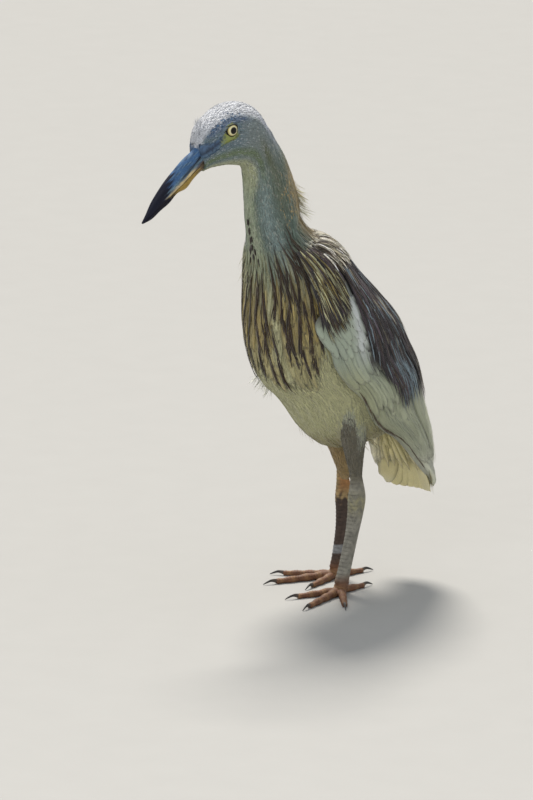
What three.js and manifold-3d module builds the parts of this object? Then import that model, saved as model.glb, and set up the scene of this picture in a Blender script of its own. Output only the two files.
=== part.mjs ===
// A pond heron standing upright with its head bent down, life size, in millimetres.
// +Z is up, the bird faces -Y and its left side is +X. It stands on the plane z = 0.
import * as THREE from "three";
import { mergeVertices } from "three/addons/utils/BufferGeometryUtils.js";
import Module from "manifold-3d";

const wasm = await Module();
wasm.setup();

// ---- driving dimensions ----------------------------------------------------------------------

const GAP = 0.3; // clearance left between two parts that touch
const SIDES = { left: 1, right: -1 };

// A rib is one cross-section of a body, an oval through two points of the profile:
// [front y, front z, back y, back z, half width, fullness at the back].
// On the head the front is the chin and the back is the crown.
const HEAD_AND_NECK = [
  [-107, 289, -111.5, 308, 7, 0],
  [-104, 291, -110, 315.5, 9, 0],
  [-99, 292.5, -107.5, 321.5, 11.5, 0],
  [-92, 293, -100.5, 327.5, 13.5, 0],
  [-85, 293, -90.5, 333, 14.5, 0],
  [-79.5, 292, -78.5, 334, 14.5, 0],
  [-74, 291, -66, 329.5, 14.5, 0],
  [-70, 286, -58, 320, 14.5, 0],
  [-69, 278.5, -50.5, 308.5, 14.5, 0],
  [-69.5, 270, -43, 298, 14.5, 0],
  [-69, 260.5, -38, 287.5, 15, 0],
  [-68.5, 252, -34, 277, 16, 0],
  [-66.5, 243, -32.5, 266.5, 18, 0],
  [-65.5, 233.5, -34, 256.5, 21, 0],
  [-63, 222.5, -37.5, 248, 25, 0],
];
const THROAT_RIB = 8; // where the head ends and the neck begins
const SHOULDER = { front: [-68, 238], back: [-28, 262] }; // where the neck ends
const TRUNK = [
  [-67, 241.5, -32, 247, 14, 0],
  [-64.5, 233, -23, 245.5, 26, 0],
  [-64, 218, -9, 235, 35, 0.05],
  [-64, 202, 4, 217.5, 41, 0.08],
  [-65, 185, 19.5, 200, 43.5, 0.08],
  [-63, 164.5, 35, 183.5, 43.5, 0.08],
  [-55, 144, 44.5, 165.5, 42, 0.08],
  [-39, 129, 51.5, 148.5, 39.5, 0.05],
  [-26, 110.5, 55, 132.5, 34, 0.03],
  [-9.5, 96.5, 56, 117.5, 25, 0],
  [9, 92.5, 50.5, 103.5, 13, 0],
];
// The hull of the folded wings: the trunk's back carried on to the wing tips.
const WING_HULL = [
  [-63, 233, -22.5, 245, 31, 0.05],
  [-62.5, 218, -8, 235, 39.5, 0.08],
  [-62, 201.5, 5, 218, 45.5, 0.1],
  [-64, 185, 21.5, 201.5, 48, 0.12],
  [-62, 164.5, 37.5, 184.5, 48, 0.12],
  [-55, 144, 48, 166.5, 46.5, 0.12],
  [-36.5, 129, 56, 150.5, 44.5, 0.1],
  [-22, 108, 63.5, 127, 40, 0.08],
  [5.5, 95.5, 71, 106, 33, 0.05],
  [33, 80, 75.5, 86.5, 26, 0],
  [59, 67, 77.5, 69, 19, 0],
  [69.5, 56.5, 76.5, 56.5, 13, 0],
];

const WING = {
  start: 2.1, // rib of the hull at which the wrist lies
  end: 10.75, // rib of the hull at which the tip lies
  // Where the folded wing's lower and upper edges run, as a share of the hull's depth from -1
  // (breast) to 1 (back), from the wrist to the tip.
  lower: [-0.1, -0.47, -0.4, -0.34, -0.32, -0.24, -0.13, -0.1, -0.1, 0.1],
  upper: [0.4, 0.8, 0.92, 0.965, 0.985, 0.99, 0.992, 0.99, 0.96, 0.7],
  depth: [4, 7, 8, 8, 8, 7, 6, 4.5, 3, 1.2], // thickness of the folded feathers
};

const TAIL = {
  // [middle y, middle z, half width, how far the edges stand forward, thickness]
  rows: [
    [40, 122, 12, 3, 10],
    [52, 100, 20, 6, 7],
    [61, 84, 27, 9, 4],
    [69, 67, 31, 13, 2.4],
    [73, 55.5, 31, 15, 1.2],
  ],
  rounding: 10, // how much shorter the outermost feathers are
};

// The whole bill as ribs, from the tip to inside the face, lower side first.
const BILL = [
  [-150.5, 261.5, -151.5, 262, 0.5, 0],
  [-143.5, 264, -148, 267.5, 1.7, 0],
  [-137, 268.7, -144, 274.5, 2.8, 0],
  [-130.5, 272.8, -138.5, 281.5, 3.8, 0],
  [-124.5, 278.4, -132.5, 288, 4.6, 0],
  [-117.5, 281, -126, 294, 5.2, 0],
  [-112, 286.6, -119, 300, 5.6, 0],
  [-106.5, 290.8, -111.5, 305, 6, 0],
  [-100, 294, -104.5, 311, 6, 0],
];
const MOUTH = { tip: [-151, 261.7], gape: [-94, 308.4] };

const EYE = { x: 9.6, y: -89.8, z: 317.9, radius: 5.4 };

const LEG = {
  // The knee is hidden in the trunk; the ankle is the joint that bends backwards.
  left: {
    knee: [24, -6, 136],
    garter: [18.5, 4.2, 86], // where the feathers end
    ankle: [18, 5.4, 58],
    foot: [18, -6.6, 6],
    turn: 20, // how far the foot points outwards, in degrees
  },
  right: {
    knee: [-24, 10, 132],
    garter: [-18.5, 20.4, 78],
    ankle: [-18, 21.4, 50],
    foot: [-18, 15.4, 6],
    turn: 6,
  },
};
const THIGH_RADII = [10, 10.4, 9.4, 7.6, 5.6, 4];
const SHANK_RADII = [3.6, 3.5, 3.6, 4.9, 6.5, 5.8, 4.9, 4.7, 4.8, 5.5];
const SHANK_NARROWNESS = 0.66; // width from side to side over depth from front to back

// Toes: [name, length, half thickness at the root, angle from straight ahead, joints].
const TOES = [
  ["middle", 44, 3, 6, 4],
  ["inner", 32, 2.8, -30, 3],
  ["outer", 36, 2.8, 38, 4],
  ["hind", 22, 2.7, 172, 2],
];
const CLAW = { length: 9, radius: 1.6 };

const COLOURS = {
  head: 0xb9b9b4,
  neck: 0xb4b3a6,
  trunk: 0x8f8468,
  wing: 0xd2d6d4,
  tail: 0xdedccb,
  bill_upper: 0x3f587c,
  bill_lower: 0xa08850,
  eye: 0xe6d890,
  thigh: 0xb5b09c,
  shank: 0x77766a,
  foot: 0x6d5443,
  claw: 0x2e2823,
};

// ---- solids ----------------------------------------------------------------------------------

/** A closed geometry as a solid that can be joined and cut. */
function solidOf(geometry) {
  const bare = geometry.clone();
  bare.deleteAttribute("normal");
  bare.deleteAttribute("uv");
  const merged = mergeVertices(bare, 1e-3);
  return new wasm.Manifold(
    new wasm.Mesh({
      numProp: 3,
      vertProperties: merged.attributes.position.array,
      triVerts: new Uint32Array(merged.index.array),
    }),
  );
}

/** The largest body of a solid, without the slivers that a cut can leave. */
function largestOf(solid) {
  const bodies = solid.decompose();
  bodies.sort((a, b) => b.volume() - a.volume());
  return bodies[0];
}

/** A solid as a geometry. */
function geometryOf(solid) {
  const { vertProperties, triVerts } = solid.getMesh();
  return new THREE.BufferGeometry()
    .setAttribute("position", new THREE.BufferAttribute(vertProperties, 3))
    .setIndex(new THREE.BufferAttribute(triVerts, 1));
}

/** Rows of numbers joined by a smooth curve: a function of the row number, fractions included. */
function smoothRows(rows) {
  const width = rows[0].length;
  const curve = new THREE.CubicInterpolant(
    Float32Array.from(rows.keys()),
    Float32Array.from(rows.flat()),
    width,
    new Float32Array(width),
  );
  return (t) => [...curve.evaluate(THREE.MathUtils.clamp(t, 0, rows.length - 1))];
}

/** A smooth run of values over 0 to 1. */
function smoothValues(values) {
  const rows = smoothRows(values.map((value) => [value]));
  return (share) => rows(share * (values.length - 1))[0];
}

/**
 * The point of a ribbed body at rib t, where `depth` runs from -1 on the front or crown line to 1
 * on the opposite line and `side` is 1, 0 or -1 for its left wall, middle and right wall.
 */
function ribPoint(ribAt, t, depth, side, grow = 0) {
  const [frontY, frontZ, backY, backZ, halfWidth, fullness] = ribAt(t);
  const half = Math.hypot(backY - frontY, backZ - frontZ) / 2;
  const reach = (half + grow) / half;
  const round = Math.sqrt(Math.max(0, 1 - depth * depth));
  return new THREE.Vector3(
    side * (halfWidth + grow) * round * (1 + fullness * depth),
    (frontY + backY) / 2 + ((backY - frontY) / 2) * depth * reach,
    (frontZ + backZ) / 2 + ((backZ - frontZ) / 2) * depth * reach,
  );
}

/** A closed body through ribs: a sphere whose rows of latitude are laid on the ribs. */
function ribbedBody(ribs, segments, rows, grow = 0) {
  const ribAt = smoothRows(ribs);
  const geometry = new THREE.SphereGeometry(1, segments, rows);
  const place = geometry.attributes.position;
  const point = new THREE.Vector3();
  for (let i = 0; i < place.count; i++) {
    point.fromBufferAttribute(place, i);
    const share = Math.acos(THREE.MathUtils.clamp(point.y, -1, 1)) / Math.PI;
    const ring = Math.hypot(point.x, point.z);
    const turn = Math.atan2(point.z, point.x);
    const t = share * (ribs.length - 1);
    const onRib = ribPoint(ribAt, t, Math.sin(turn), Math.sign(Math.cos(turn)) || 1, grow);
    const middle = ribPoint(ribAt, t, 0, 0, grow);
    if (ring < 1e-6) onRib.copy(middle);
    place.setXYZ(i, onRib.x, onRib.y, onRib.z);
  }
  return outwards(geometry);
}

/** Turns a geometry's faces round if they point inwards. */
function outwards(geometry) {
  const place = geometry.attributes.position;
  const index = geometry.index;
  const [a, b, c] = [new THREE.Vector3(), new THREE.Vector3(), new THREE.Vector3()];
  let volume = 0;
  for (let i = 0; i < index.count; i += 3) {
    a.fromBufferAttribute(place, index.getX(i));
    b.fromBufferAttribute(place, index.getX(i + 1));
    c.fromBufferAttribute(place, index.getX(i + 2));
    volume += a.dot(b.cross(c));
  }
  if (volume < 0) {
    for (let i = 0; i < index.count; i += 3) {
      const first = index.getX(i);
      index.setX(i, index.getX(i + 1));
      index.setX(i + 1, first);
    }
  }
  return geometry;
}

/**
 * A round limb along a smooth line: a sphere whose rows of latitude are laid along the line.
 * `radiusAt` gives [sideways, up] half sizes for a share of the length.
 */
function limb(points, radiusAt, segments, rows) {
  const line = new THREE.CatmullRomCurve3(points.map((p) => new THREE.Vector3(...p)));
  const geometry = new THREE.SphereGeometry(1, segments, rows);
  const place = geometry.attributes.position;
  const point = new THREE.Vector3();
  const first = line.getTangentAt(0);
  const level = new THREE.Vector3(0, 0, 1);
  const across = new THREE.Vector3().crossVectors(first, level);
  if (across.length() < 0.5) across.set(1, 0, 0);
  for (let i = 0; i < place.count; i++) {
    point.fromBufferAttribute(place, i);
    const share = Math.acos(THREE.MathUtils.clamp(point.y, -1, 1)) / Math.PI;
    const turn = Math.atan2(point.z, point.x);
    const onAxis = Math.hypot(point.x, point.z) < 1e-6;
    const tangent = line.getTangentAt(share);
    const side = across.clone().addScaledVector(tangent, -across.dot(tangent)).normalize();
    const up = new THREE.Vector3().crossVectors(side, tangent);
    const [wide, high] = onAxis ? [0, 0] : radiusAt(share);
    const centre = line.getPointAt(share);
    centre.addScaledVector(side, wide * Math.cos(turn));
    centre.addScaledVector(up, high * Math.sin(turn));
    place.setXYZ(i, centre.x, centre.y, centre.z);
  }
  return outwards(geometry);
}

/**
 * A thin closed panel: a box whose front and back faces are laid on two surfaces, each a
 * function of u and v between 0 and 1.
 */
function panel(outerAt, innerAt, columns, rows) {
  const geometry = new THREE.BoxGeometry(1, 1, 1, columns, rows, 1);
  const place = geometry.attributes.position;
  for (let i = 0; i < place.count; i++) {
    const surfaceAt = place.getZ(i) > 0 ? outerAt : innerAt;
    const at = surfaceAt(place.getX(i) + 0.5, place.getY(i) + 0.5);
    place.setXYZ(i, at.x, at.y, at.z);
  }
  return outwards(geometry);
}

// ---- the bird --------------------------------------------------------------------------------

const bird = new THREE.Group();

/** Adds one solid to the bird as a named mesh. */
function addPart(name, solid, colour, roughness = 0.85) {
  const material = new THREE.MeshStandardMaterial({ color: colour, roughness, metalness: 0 });
  const mesh = new THREE.Mesh(geometryOf(largestOf(solid)), material);
  mesh.name = name;
  bird.add(mesh);
}

/**
 * The part of a solid on one side of a plane that holds the X axis' direction. The plane runs
 * through two points of the profile, and `side` 1 keeps what lies to the left of their line.
 */
function beside(solid, [fromY, fromZ], [toY, toZ], side) {
  const along = new THREE.Vector2(toY - fromY, toZ - fromZ).normalize();
  const normal = new THREE.Vector2(-along.y, along.x).multiplyScalar(side);
  const offset = normal.x * fromY + normal.y * fromZ;
  return solid.trimByPlane([0, normal.x, normal.y], offset + GAP / 2);
}

// Head, neck and trunk are one body, cut across at the throat and at the shoulders.
const headAndNeck = (grow) => solidOf(ribbedBody(HEAD_AND_NECK, 20, 28, grow));
const trunkBody = (grow) => solidOf(ribbedBody(TRUNK, 28, 19, grow));
const body = headAndNeck(0).add(trunkBody(0));
const throat = [HEAD_AND_NECK[THROAT_RIB].slice(0, 2), HEAD_AND_NECK[THROAT_RIB].slice(2, 4)];
const shoulder = [SHOULDER.front, SHOULDER.back];
const trunkRoom = trunkBody(GAP);
const faceRoom = headAndNeck(GAP);

let head = beside(body, ...throat, 1);
for (const [name, side] of Object.entries(SIDES)) {
  const ball = (grow) =>
    solidOf(
      new THREE.SphereGeometry(EYE.radius + grow, 14, 8).translate(side * EYE.x, EYE.y, EYE.z),
    );
  head = head.subtract(ball(GAP));
  addPart(`eye_${name}`, ball(0), COLOURS.eye, 0.1);
}
addPart("head", head, COLOURS.head);
addPart("neck", beside(beside(body, ...throat, -1), ...shoulder, 1), COLOURS.neck);
addPart("trunk", beside(body, ...shoulder, -1), COLOURS.trunk);

// The bill is split along the mouth line and ends at the face.
const bill = solidOf(ribbedBody(BILL, 14, 12)).subtract(faceRoom);
addPart("bill_upper", beside(bill, MOUTH.tip, MOUTH.gape, 1), COLOURS.bill_upper, 0.35);
addPart("bill_lower", beside(bill, MOUTH.tip, MOUTH.gape, -1), COLOURS.bill_lower, 0.35);

// Tail: a fan that arches over, its edges standing forward of its middle.
const tailRows = smoothRows(TAIL.rows);
const tailFace = (layer, grow) => (u, v) => {
  const across = 2 * v - 1;
  const reach = u * (TAIL.rows.length - 1);
  const [y, z, halfWidth, arch, thickness] = tailRows(reach);
  const square = across * across;
  const edge = 1 - 0.6 * square;
  return new THREE.Vector3(
    across * (halfWidth + grow),
    y - arch * square + layer * ((thickness / 2) * edge + grow),
    z + TAIL.rounding * Math.pow(square, 4) * u * u - grow * (2 * u - 1),
  );
};
const tailSolid = (grow) => solidOf(panel(tailFace(1, grow), tailFace(-1, grow), 7, 10));
addPart("tail", tailSolid(0).subtract(trunkRoom), COLOURS.tail);

// The feathered thigh of one leg.
const thighRadius = smoothValues(THIGH_RADII);
const thigh = (name, grow) =>
  solidOf(
    limb(
      [LEG[name].knee, LEG[name].garter],
      (s) => [thighRadius(s) * 0.85 + grow, thighRadius(s) + grow],
      12,
      8,
    ),
  );

// Wings: thick panels on the hull, folded against the trunk.
const hullAt = smoothRows(WING_HULL);
const wingLower = smoothValues(WING.lower);
const wingUpper = smoothValues(WING.upper);
const wingDepth = smoothValues(WING.depth);
const tailRoom = tailSolid(GAP);
for (const [name, side] of Object.entries(SIDES)) {
  const face = (sinkAt) => (u, v) => {
    const t = THREE.MathUtils.lerp(WING.start, WING.end, u);
    const depth = THREE.MathUtils.lerp(wingLower(u), wingUpper(u), v);
    return ribPoint(hullAt, t, depth, side, -sinkAt(u, v));
  };
  const rolled = (u, v) => 1.2 * Math.pow(Math.abs(2 * v - 1), 4) * Math.min(1, wingDepth(u) / 4);
  const wing = solidOf(panel(face(rolled), face((u) => wingDepth(u)), 16, 7));
  const room = trunkRoom.add(tailRoom).add(thigh(name, GAP));
  addPart(`wing_${name}`, wing.subtract(room), COLOURS.wing);
}

// Legs: feathered thigh, bare shank, toes and claws.
const FLOOR = [0, 0, 1];
const shankRadius = smoothValues(SHANK_RADII);
for (const [name, side] of Object.entries(SIDES)) {
  const { knee, garter, ankle, foot, turn: footTurn } = LEG[name];
  addPart(`thigh_${name}`, thigh(name, 0).subtract(trunkRoom), COLOURS.thigh);
  const calf = new THREE.Vector3(...garter).lerp(new THREE.Vector3(...knee), 0.1).toArray();
  const shankSize = (s) => [shankRadius(s) * SHANK_NARROWNESS, shankRadius(s)];
  const shank = solidOf(limb([calf, ankle, foot], shankSize, 10, 14));

  // The toes spread from the foot, each thick at its joints, and end in a curved claw.
  const [footX, footY] = foot;
  let toes = solidOf(new THREE.SphereGeometry(4.8, 10, 6).translate(footX, footY, 4.2));
  const claws = [];
  for (const [toe, length, radius, angle, joints] of TOES) {
    const turn = THREE.MathUtils.degToRad(angle + footTurn);
    const along = (distance, height) => [
      footX + side * Math.sin(turn) * distance,
      footY - Math.cos(turn) * distance,
      height,
    ];
    const size = (s) => radius * (1 - 0.4 * s) * (1 + 0.12 * Math.cos(2 * Math.PI * joints * s));
    const path = [0, 0.3, 0.65, 1].map((s) => along(length * s, radius * (1 - 0.4 * s) * 0.9));
    toes = toes.add(solidOf(limb(path, (s) => [size(s) * 1.05, size(s)], 8, 9)));
    const bend = [
      along(length - 1.5, 1.8),
      along(length + CLAW.length * 0.35, 2.6),
      along(length + CLAW.length, 0.5),
    ];
    const taper = (s) => CLAW.radius * (1.02 - 0.88 * s);
    claws.push([toe, solidOf(limb(bend, (s) => [taper(s) * 0.75, taper(s)], 6, 5))]);
  }
  toes = toes.trimByPlane(FLOOR, 0);
  for (const [toe, claw] of claws) {
    addPart(`claw_${name}_${toe}`, claw.subtract(toes), COLOURS.claw, 0.4);
  }
  addPart(`foot_${name}`, toes, COLOURS.foot, 0.7);
  addPart(`shank_${name}`, shank.subtract(thigh(name, GAP)).subtract(toes), COLOURS.shank, 0.7);
}

// The frame's origin is on the floor, below the middle of the bird's box.
const box = new THREE.Box3().setFromObject(bird);
const middle = box.getCenter(new THREE.Vector3());
bird.position.set(-middle.x, -middle.y, -box.min.z);

export default bird;
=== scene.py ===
"""A pond heron standing upright with its head bent down, life size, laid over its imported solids.

One skin stands for the head, neck, trunk and thighs. The plumage over it is modelled as many
small closed vanes, joined into a few meshes, that follow the lie of the feathers. Sizes are in
millimetres in the bird's own frame: +Z up, the bird faces -Y, its left side is +X, and it stands
on z = 0 with the origin below its body. `in_row` turns them into metres in the row's frame.
"""

import logging
import math
from contextlib import contextmanager
from dataclasses import dataclass, field
from enum import Enum
from typing import Callable, Iterator, Optional, Sequence

import bpy
import numpy as np
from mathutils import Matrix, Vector
from mathutils.bvhtree import BVHTree
from mathutils.kdtree import KDTree


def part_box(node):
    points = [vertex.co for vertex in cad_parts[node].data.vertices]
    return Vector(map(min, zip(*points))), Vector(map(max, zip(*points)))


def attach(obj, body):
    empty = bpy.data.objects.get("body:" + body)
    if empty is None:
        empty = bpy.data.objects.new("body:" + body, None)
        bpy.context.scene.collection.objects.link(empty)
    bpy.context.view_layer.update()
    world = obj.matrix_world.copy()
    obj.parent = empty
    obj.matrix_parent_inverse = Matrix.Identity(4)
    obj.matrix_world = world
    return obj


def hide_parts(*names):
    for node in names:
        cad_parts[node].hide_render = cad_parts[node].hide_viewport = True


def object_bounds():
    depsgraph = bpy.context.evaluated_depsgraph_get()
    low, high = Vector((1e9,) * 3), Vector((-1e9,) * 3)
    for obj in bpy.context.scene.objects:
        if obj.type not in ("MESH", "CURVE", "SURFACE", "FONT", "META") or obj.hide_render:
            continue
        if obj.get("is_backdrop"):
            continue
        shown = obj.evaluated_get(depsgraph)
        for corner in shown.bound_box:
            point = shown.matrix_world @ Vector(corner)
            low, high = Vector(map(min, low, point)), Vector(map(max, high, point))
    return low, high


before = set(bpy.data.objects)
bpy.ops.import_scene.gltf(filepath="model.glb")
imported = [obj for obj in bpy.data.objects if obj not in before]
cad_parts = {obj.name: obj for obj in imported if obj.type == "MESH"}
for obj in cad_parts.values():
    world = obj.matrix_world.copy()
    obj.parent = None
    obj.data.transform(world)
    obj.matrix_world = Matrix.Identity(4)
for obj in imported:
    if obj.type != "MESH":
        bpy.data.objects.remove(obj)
CAD_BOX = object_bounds()

log = logging.getLogger("heron")
Array = np.ndarray
Span = tuple[float, float]
Spot = tuple[float, float, float]
Piece = bpy.types.Object
Random = np.random.Generator
Density = Callable[[Array, Array], Array]  # how dense places are at t and a
Tones = tuple[tuple[Array, float], ...]  # colours, each with its share

MM = 0.001
BODY_NAME = "root"
BAKE_MAP = "OFBake"
TINT = "plumage"  # the colour attribute that feathers, skin and horn read
EYE_MIDDLE = (0.0, -89.8, 317.9)  # midway between the two eyes
STRIDE = (0.7548776662466927, 0.5698402909980532)  # steps whose fractions fill a square evenly
PATCH_REACH = 0.0015  # half of one feather's patch on the bake map
BROAD_SOIL = 5.0  # millimetres across a patch of soil
RELIEF_DEPTH = 0.18  # millimetres between the bottom and the top of a finish's relief
KERATIN_IOR = 1.5
FLOOR_RADIUS = 14.0  # in metres


class Side(Enum):
    """The bird's own two sides."""

    LEFT = 1
    RIGHT = -1

    @property
    def word(self) -> str:
        """The side's name as the solids use it."""
        return self.name.lower()


def find_origin() -> Array:
    """Finds how far the row's frame lies from the bird's own, in millimetres."""
    corners = [np.array(corner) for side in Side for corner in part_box(f"eye_{side.word}")]
    return np.mean(corners, axis=0) / MM - np.array(EYE_MIDDLE)


ORIGIN = find_origin()


def in_row(points: Array) -> Array:
    """Turns bird millimetres into metres in the row's frame."""
    return (np.asarray(points, float) + ORIGIN) * MM


def in_bird(points: Array) -> Array:
    """Turns metres in the row's frame into bird millimetres."""
    return np.asarray(points, float) / MM - ORIGIN


# ---- colour ----


def linear(hex_colour: str) -> Array:
    """Turns an sRGB hex colour into linear red, green and blue from 0 to 1."""
    values = np.array([int(hex_colour[i : i + 2], 16) / 255 for i in (1, 3, 5)])
    return np.where(values <= 0.04045, values / 12.92, ((values + 0.055) / 1.055) ** 2.4)


def ramp(x: Array, low: float, high: float) -> Array:
    """A smooth step from 0 at `low` to 1 at `high`."""
    share = np.clip((np.asarray(x, float) - low) / (high - low), 0, 1)
    return share * share * (3 - 2 * share)


def hump(x: Array, middle: float, reach: float) -> Array:
    """A smooth bump of 1 at `middle` that is nearly gone `reach` away."""
    return np.exp(-(((np.asarray(x, float) - middle) / (0.6 * reach)) ** 2))


def mix(first: Array, second: Array, share: Array) -> Array:
    """Blends two colours, or two rows of them, by a share for each row."""
    share = np.asarray(share, float)[..., None]
    return np.asarray(first) * (1 - share) + np.asarray(second) * share


class Hue:
    """Linear colours of the plumage and the bare parts."""

    CROWN = linear("#cdd0d6")
    CROWN_STREAK = linear("#9da1ad")
    BROW = linear("#6f7f97")
    FACE = linear("#7f8b8b")
    FACE_BLUE = linear("#6c7f88")
    # Painted shade: the olive behind the cheek.
    FACE_OLIVE = linear("#676e55")
    CHEEK = linear("#718262")
    THROAT = linear("#b3b894")
    # The neck's two colours are painted shade: grey-green and darker than its own pale buff.
    NECK = linear("#617166")
    NECK_COOL = linear("#7f918f")
    HINDNECK = linear("#a8946a")
    FORENECK = linear("#9ca78c")
    SPOT = linear("#261b10")
    PLUME = linear("#a28e54")
    PLUME_OLIVE = linear("#7e7040")
    PLUME_PALE = linear("#b3b18a")
    PLUME_DARK = linear("#21160c")
    PLUME_RIM = linear("#5c4420")
    MANTLE_PALE = linear("#dcd6c6")
    CAPE = linear("#2c282b")
    CAPE_PLUM = linear("#463b42")
    CAPE_BROWN = linear("#3f3125")
    CAPE_GREY = linear("#71818a")
    CAPE_PALE = linear("#9c957f")
    # The belly's pale cream, with a painted yellow-green cast of light thrown up from below.
    BELLY = linear("#b4b389")
    # Painted shade: the olive of the lower flank in shade.
    FLANK = linear("#857848")
    VENT = linear("#a2975f")
    # The folded wing's white, painted as seen in shade: grey-green, and at the front a painted blue sky
    # reflection.
    WING = linear("#a8ad92")
    WING_BLUE = linear("#9ca695")
    WING_WARM = linear("#9da07f")
    WING_EDGE = linear("#4f4229")
    TAIL = linear("#d8cf9c")
    # White: the wing tips' own, and the painted rim highlight and glow of backlit feathers.
    TAIL_WHITE = linear("#e3e3d6")
    # The thigh's pale feathers with a painted bluish highlight, and the near thigh's painted shade.
    THIGH_WHITE = linear("#a9b3b0")
    THIGH = linear("#686353")
    THIGH_FAR = linear("#a48c62")
    LORE = linear("#4c6684")
    LORE_DARK = linear("#1c2638")
    ORBIT = linear("#8c944f")
    LID = linear("#12110e")
    IRIS = linear("#e9e2b6")
    IRIS_EDGE = linear("#cdbd77")
    BILL_BLUE = linear("#3f6189")
    BILL_GREY = linear("#6d8591")
    BILL_BLACK = linear("#0d1024")
    BILL_TAN = linear("#a38746")
    # Cream: partly the horn's own pale edge, partly a painted highlight.
    BILL_CREAM = linear("#d2bd8a")
    BILL_BROWN = linear("#625547")
    MOUTH = linear("#191510")
    SHANK = linear("#88857a")
    SHANK_OLIVE = linear("#8f8a6a")
    SHANK_RUST = linear("#a8774a")
    # Painted shade: the far tarsus in shade.
    SHANK_DUSK = linear("#4a3c34")
    SHANK_BAND = linear("#8f9294")
    TOE = linear("#714c35")
    TOE_PALE = linear("#94724c")
    CLAW = linear("#4d4034")
    CLAW_TIP = linear("#1a1613")


# ---- forms that the plumage lies on ----


def smooth(rows: Array, t: Array) -> Array:
    """Reads rows of numbers as a smooth curve.

    Args:
        rows: The rows, one for each whole value of t.
        t: Row numbers, fractions included.

    Returns:
        One row for each value of t.
    """
    rows = np.asarray(rows, float)
    last = len(rows) - 1
    t = np.clip(t, 0, last - 1e-6)
    k = np.floor(t).astype(int)
    f = (t - k)[..., None]
    p0, p1, p2, p3 = rows[np.maximum(k - 1, 0)], rows[k], rows[k + 1], rows[np.minimum(k + 2, last)]
    bend = (2 * p0 - 5 * p1 + 4 * p2 - p3) + f * (3 * (p1 - p2) + p3 - p0)
    return p1 + 0.5 * f * ((p2 - p0) + f * bend)


def turned(a: Array) -> Array:
    """How many degrees turns lie from the crown and back."""
    return np.abs(np.degrees(a))


def unit(vectors: Array) -> Array:
    """Vectors scaled to length 1."""
    return vectors / (np.linalg.norm(vectors, axis=-1, keepdims=True) + 1e-12)


class Form:
    """A surface read by a row number t along it and a turn a round it."""

    last: float

    def point(self, t: Array, a: Array, grow: Array = 0.0) -> Array:
        """The surface's points, `grow` millimetres outside it."""
        raise NotImplementedError

    def read(self, t: Array, a: Array) -> tuple[Array, Array, Array, Array]:
        """Reads the surface, its slopes and its normals.

        Args:
            t: Row numbers.
            a: Turns, in radians.

        Returns:
            Points, slopes along t and round a, and outward normals.
        """
        step = 2e-3
        t = np.clip(t, step, self.last - step)
        point = self.point(t, a)
        along = (self.point(t + step, a) - self.point(t - step, a)) / (2 * step)
        around = (self.point(t, a + step) - self.point(t, a - step)) / (2 * step)
        return point, along, around, unit(np.cross(around, along))


@dataclass
class RibbedForm(Form):
    """A body through oval ribs, each [front y, front z, back y, back z, half width, fullness].

    The turn a is 0 on the crown and back, 90 degrees on the left side and 180 on the breast.
    """

    ribs: Sequence[Sequence[float]]

    def __post_init__(self) -> None:
        """Keeps the ribs as one array."""
        self.rows = np.array(self.ribs, float)
        self.last = len(self.rows) - 1

    def point(self, t: Array, a: Array, grow: Array = 0.0) -> Array:
        """Finds points of the form.

        Args:
            t: Row numbers.
            a: Turns, in radians.
            grow: Millimetres outside the form.

        Returns:
            The points.
        """
        front_y, front_z, back_y, back_z, width, fullness = np.moveaxis(smooth(self.rows, t), -1, 0)
        depth, side = np.cos(a), np.sin(a)
        half = np.hypot(back_y - front_y, back_z - front_z) / 2
        reach = depth * (half + grow) / half / 2
        x = side * (width + grow) * (1 + fullness * depth)
        y = (front_y + back_y) / 2 + (back_y - front_y) * reach
        z = (front_z + back_z) / 2 + (back_z - front_z) * reach
        return np.stack([x, y, z], -1)


@dataclass
class Limb(Form):
    """A round limb along a smooth line, with a radius for each of some even stations."""

    line: Sequence[Sequence[float]]
    radii: Sequence[float]
    narrow: float = 1.0  # its width from side to side over its depth

    def __post_init__(self) -> None:
        """Keeps the line and radii as arrays."""
        self.path = np.array(self.line, float)
        self.sizes = np.array(self.radii, float)[:, None]
        self.last = len(self.path) - 1

    def point(self, t: Array, a: Array, grow: Array = 0.0) -> Array:
        """Finds points of the limb.

        Args:
            t: Row numbers.
            a: Turns, in radians.
            grow: Millimetres outside the form.

        Returns:
            The points.
        """
        t = np.asarray(t, float)
        step = 1e-3
        centre = smooth(self.path, t)
        t_in = np.clip(t, step, self.last - step)
        tangent = unit(smooth(self.path, t_in + step) - smooth(self.path, t_in - step))
        across = np.array([1.0, 0.0, 0.0])
        if abs(self.path[-1][2] - self.path[0][2]) < 10:  # a level limb, such as a toe
            across = np.cross(tangent, np.array([0.0, 0.0, 1.0]))
        side = unit(across - tangent * (across * tangent).sum(-1, keepdims=True))
        up = np.cross(side, tangent)
        radius = smooth(self.sizes, t / self.last * (len(self.sizes) - 1))
        grow = np.asarray(grow, float)[..., None] if np.ndim(grow) else grow
        wide, deep = radius * self.narrow + grow, radius + grow
        return centre + side * wide * np.cos(a)[..., None] - up * deep * np.sin(a)[..., None]


@dataclass
class Fan(RibbedForm):
    """The tail: rows of [middle y, middle z, half width, edges' reach forward, thickness].

    Here a runs from -1 at the right edge to 1 at the left, and outwards is the upper side.
    """

    rounding: float  # how much shorter the outermost feathers are

    def point(self, t: Array, a: Array, grow: Array = 0.0) -> Array:
        """Finds points of the tail's middle surface.

        Args:
            t: Row numbers.
            a: Places across it, from -1 to 1.
            grow: Millimetres towards its upper side.

        Returns:
            The points.
        """
        y, z, width, arch, _ = np.moveaxis(smooth(self.rows, t), -1, 0)
        share = np.asarray(t) / self.last
        raised = self.rounding * np.abs(a) ** 8 * share**2
        return np.stack([a * width, y - arch * a * a + grow, z + raised], -1)


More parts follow.
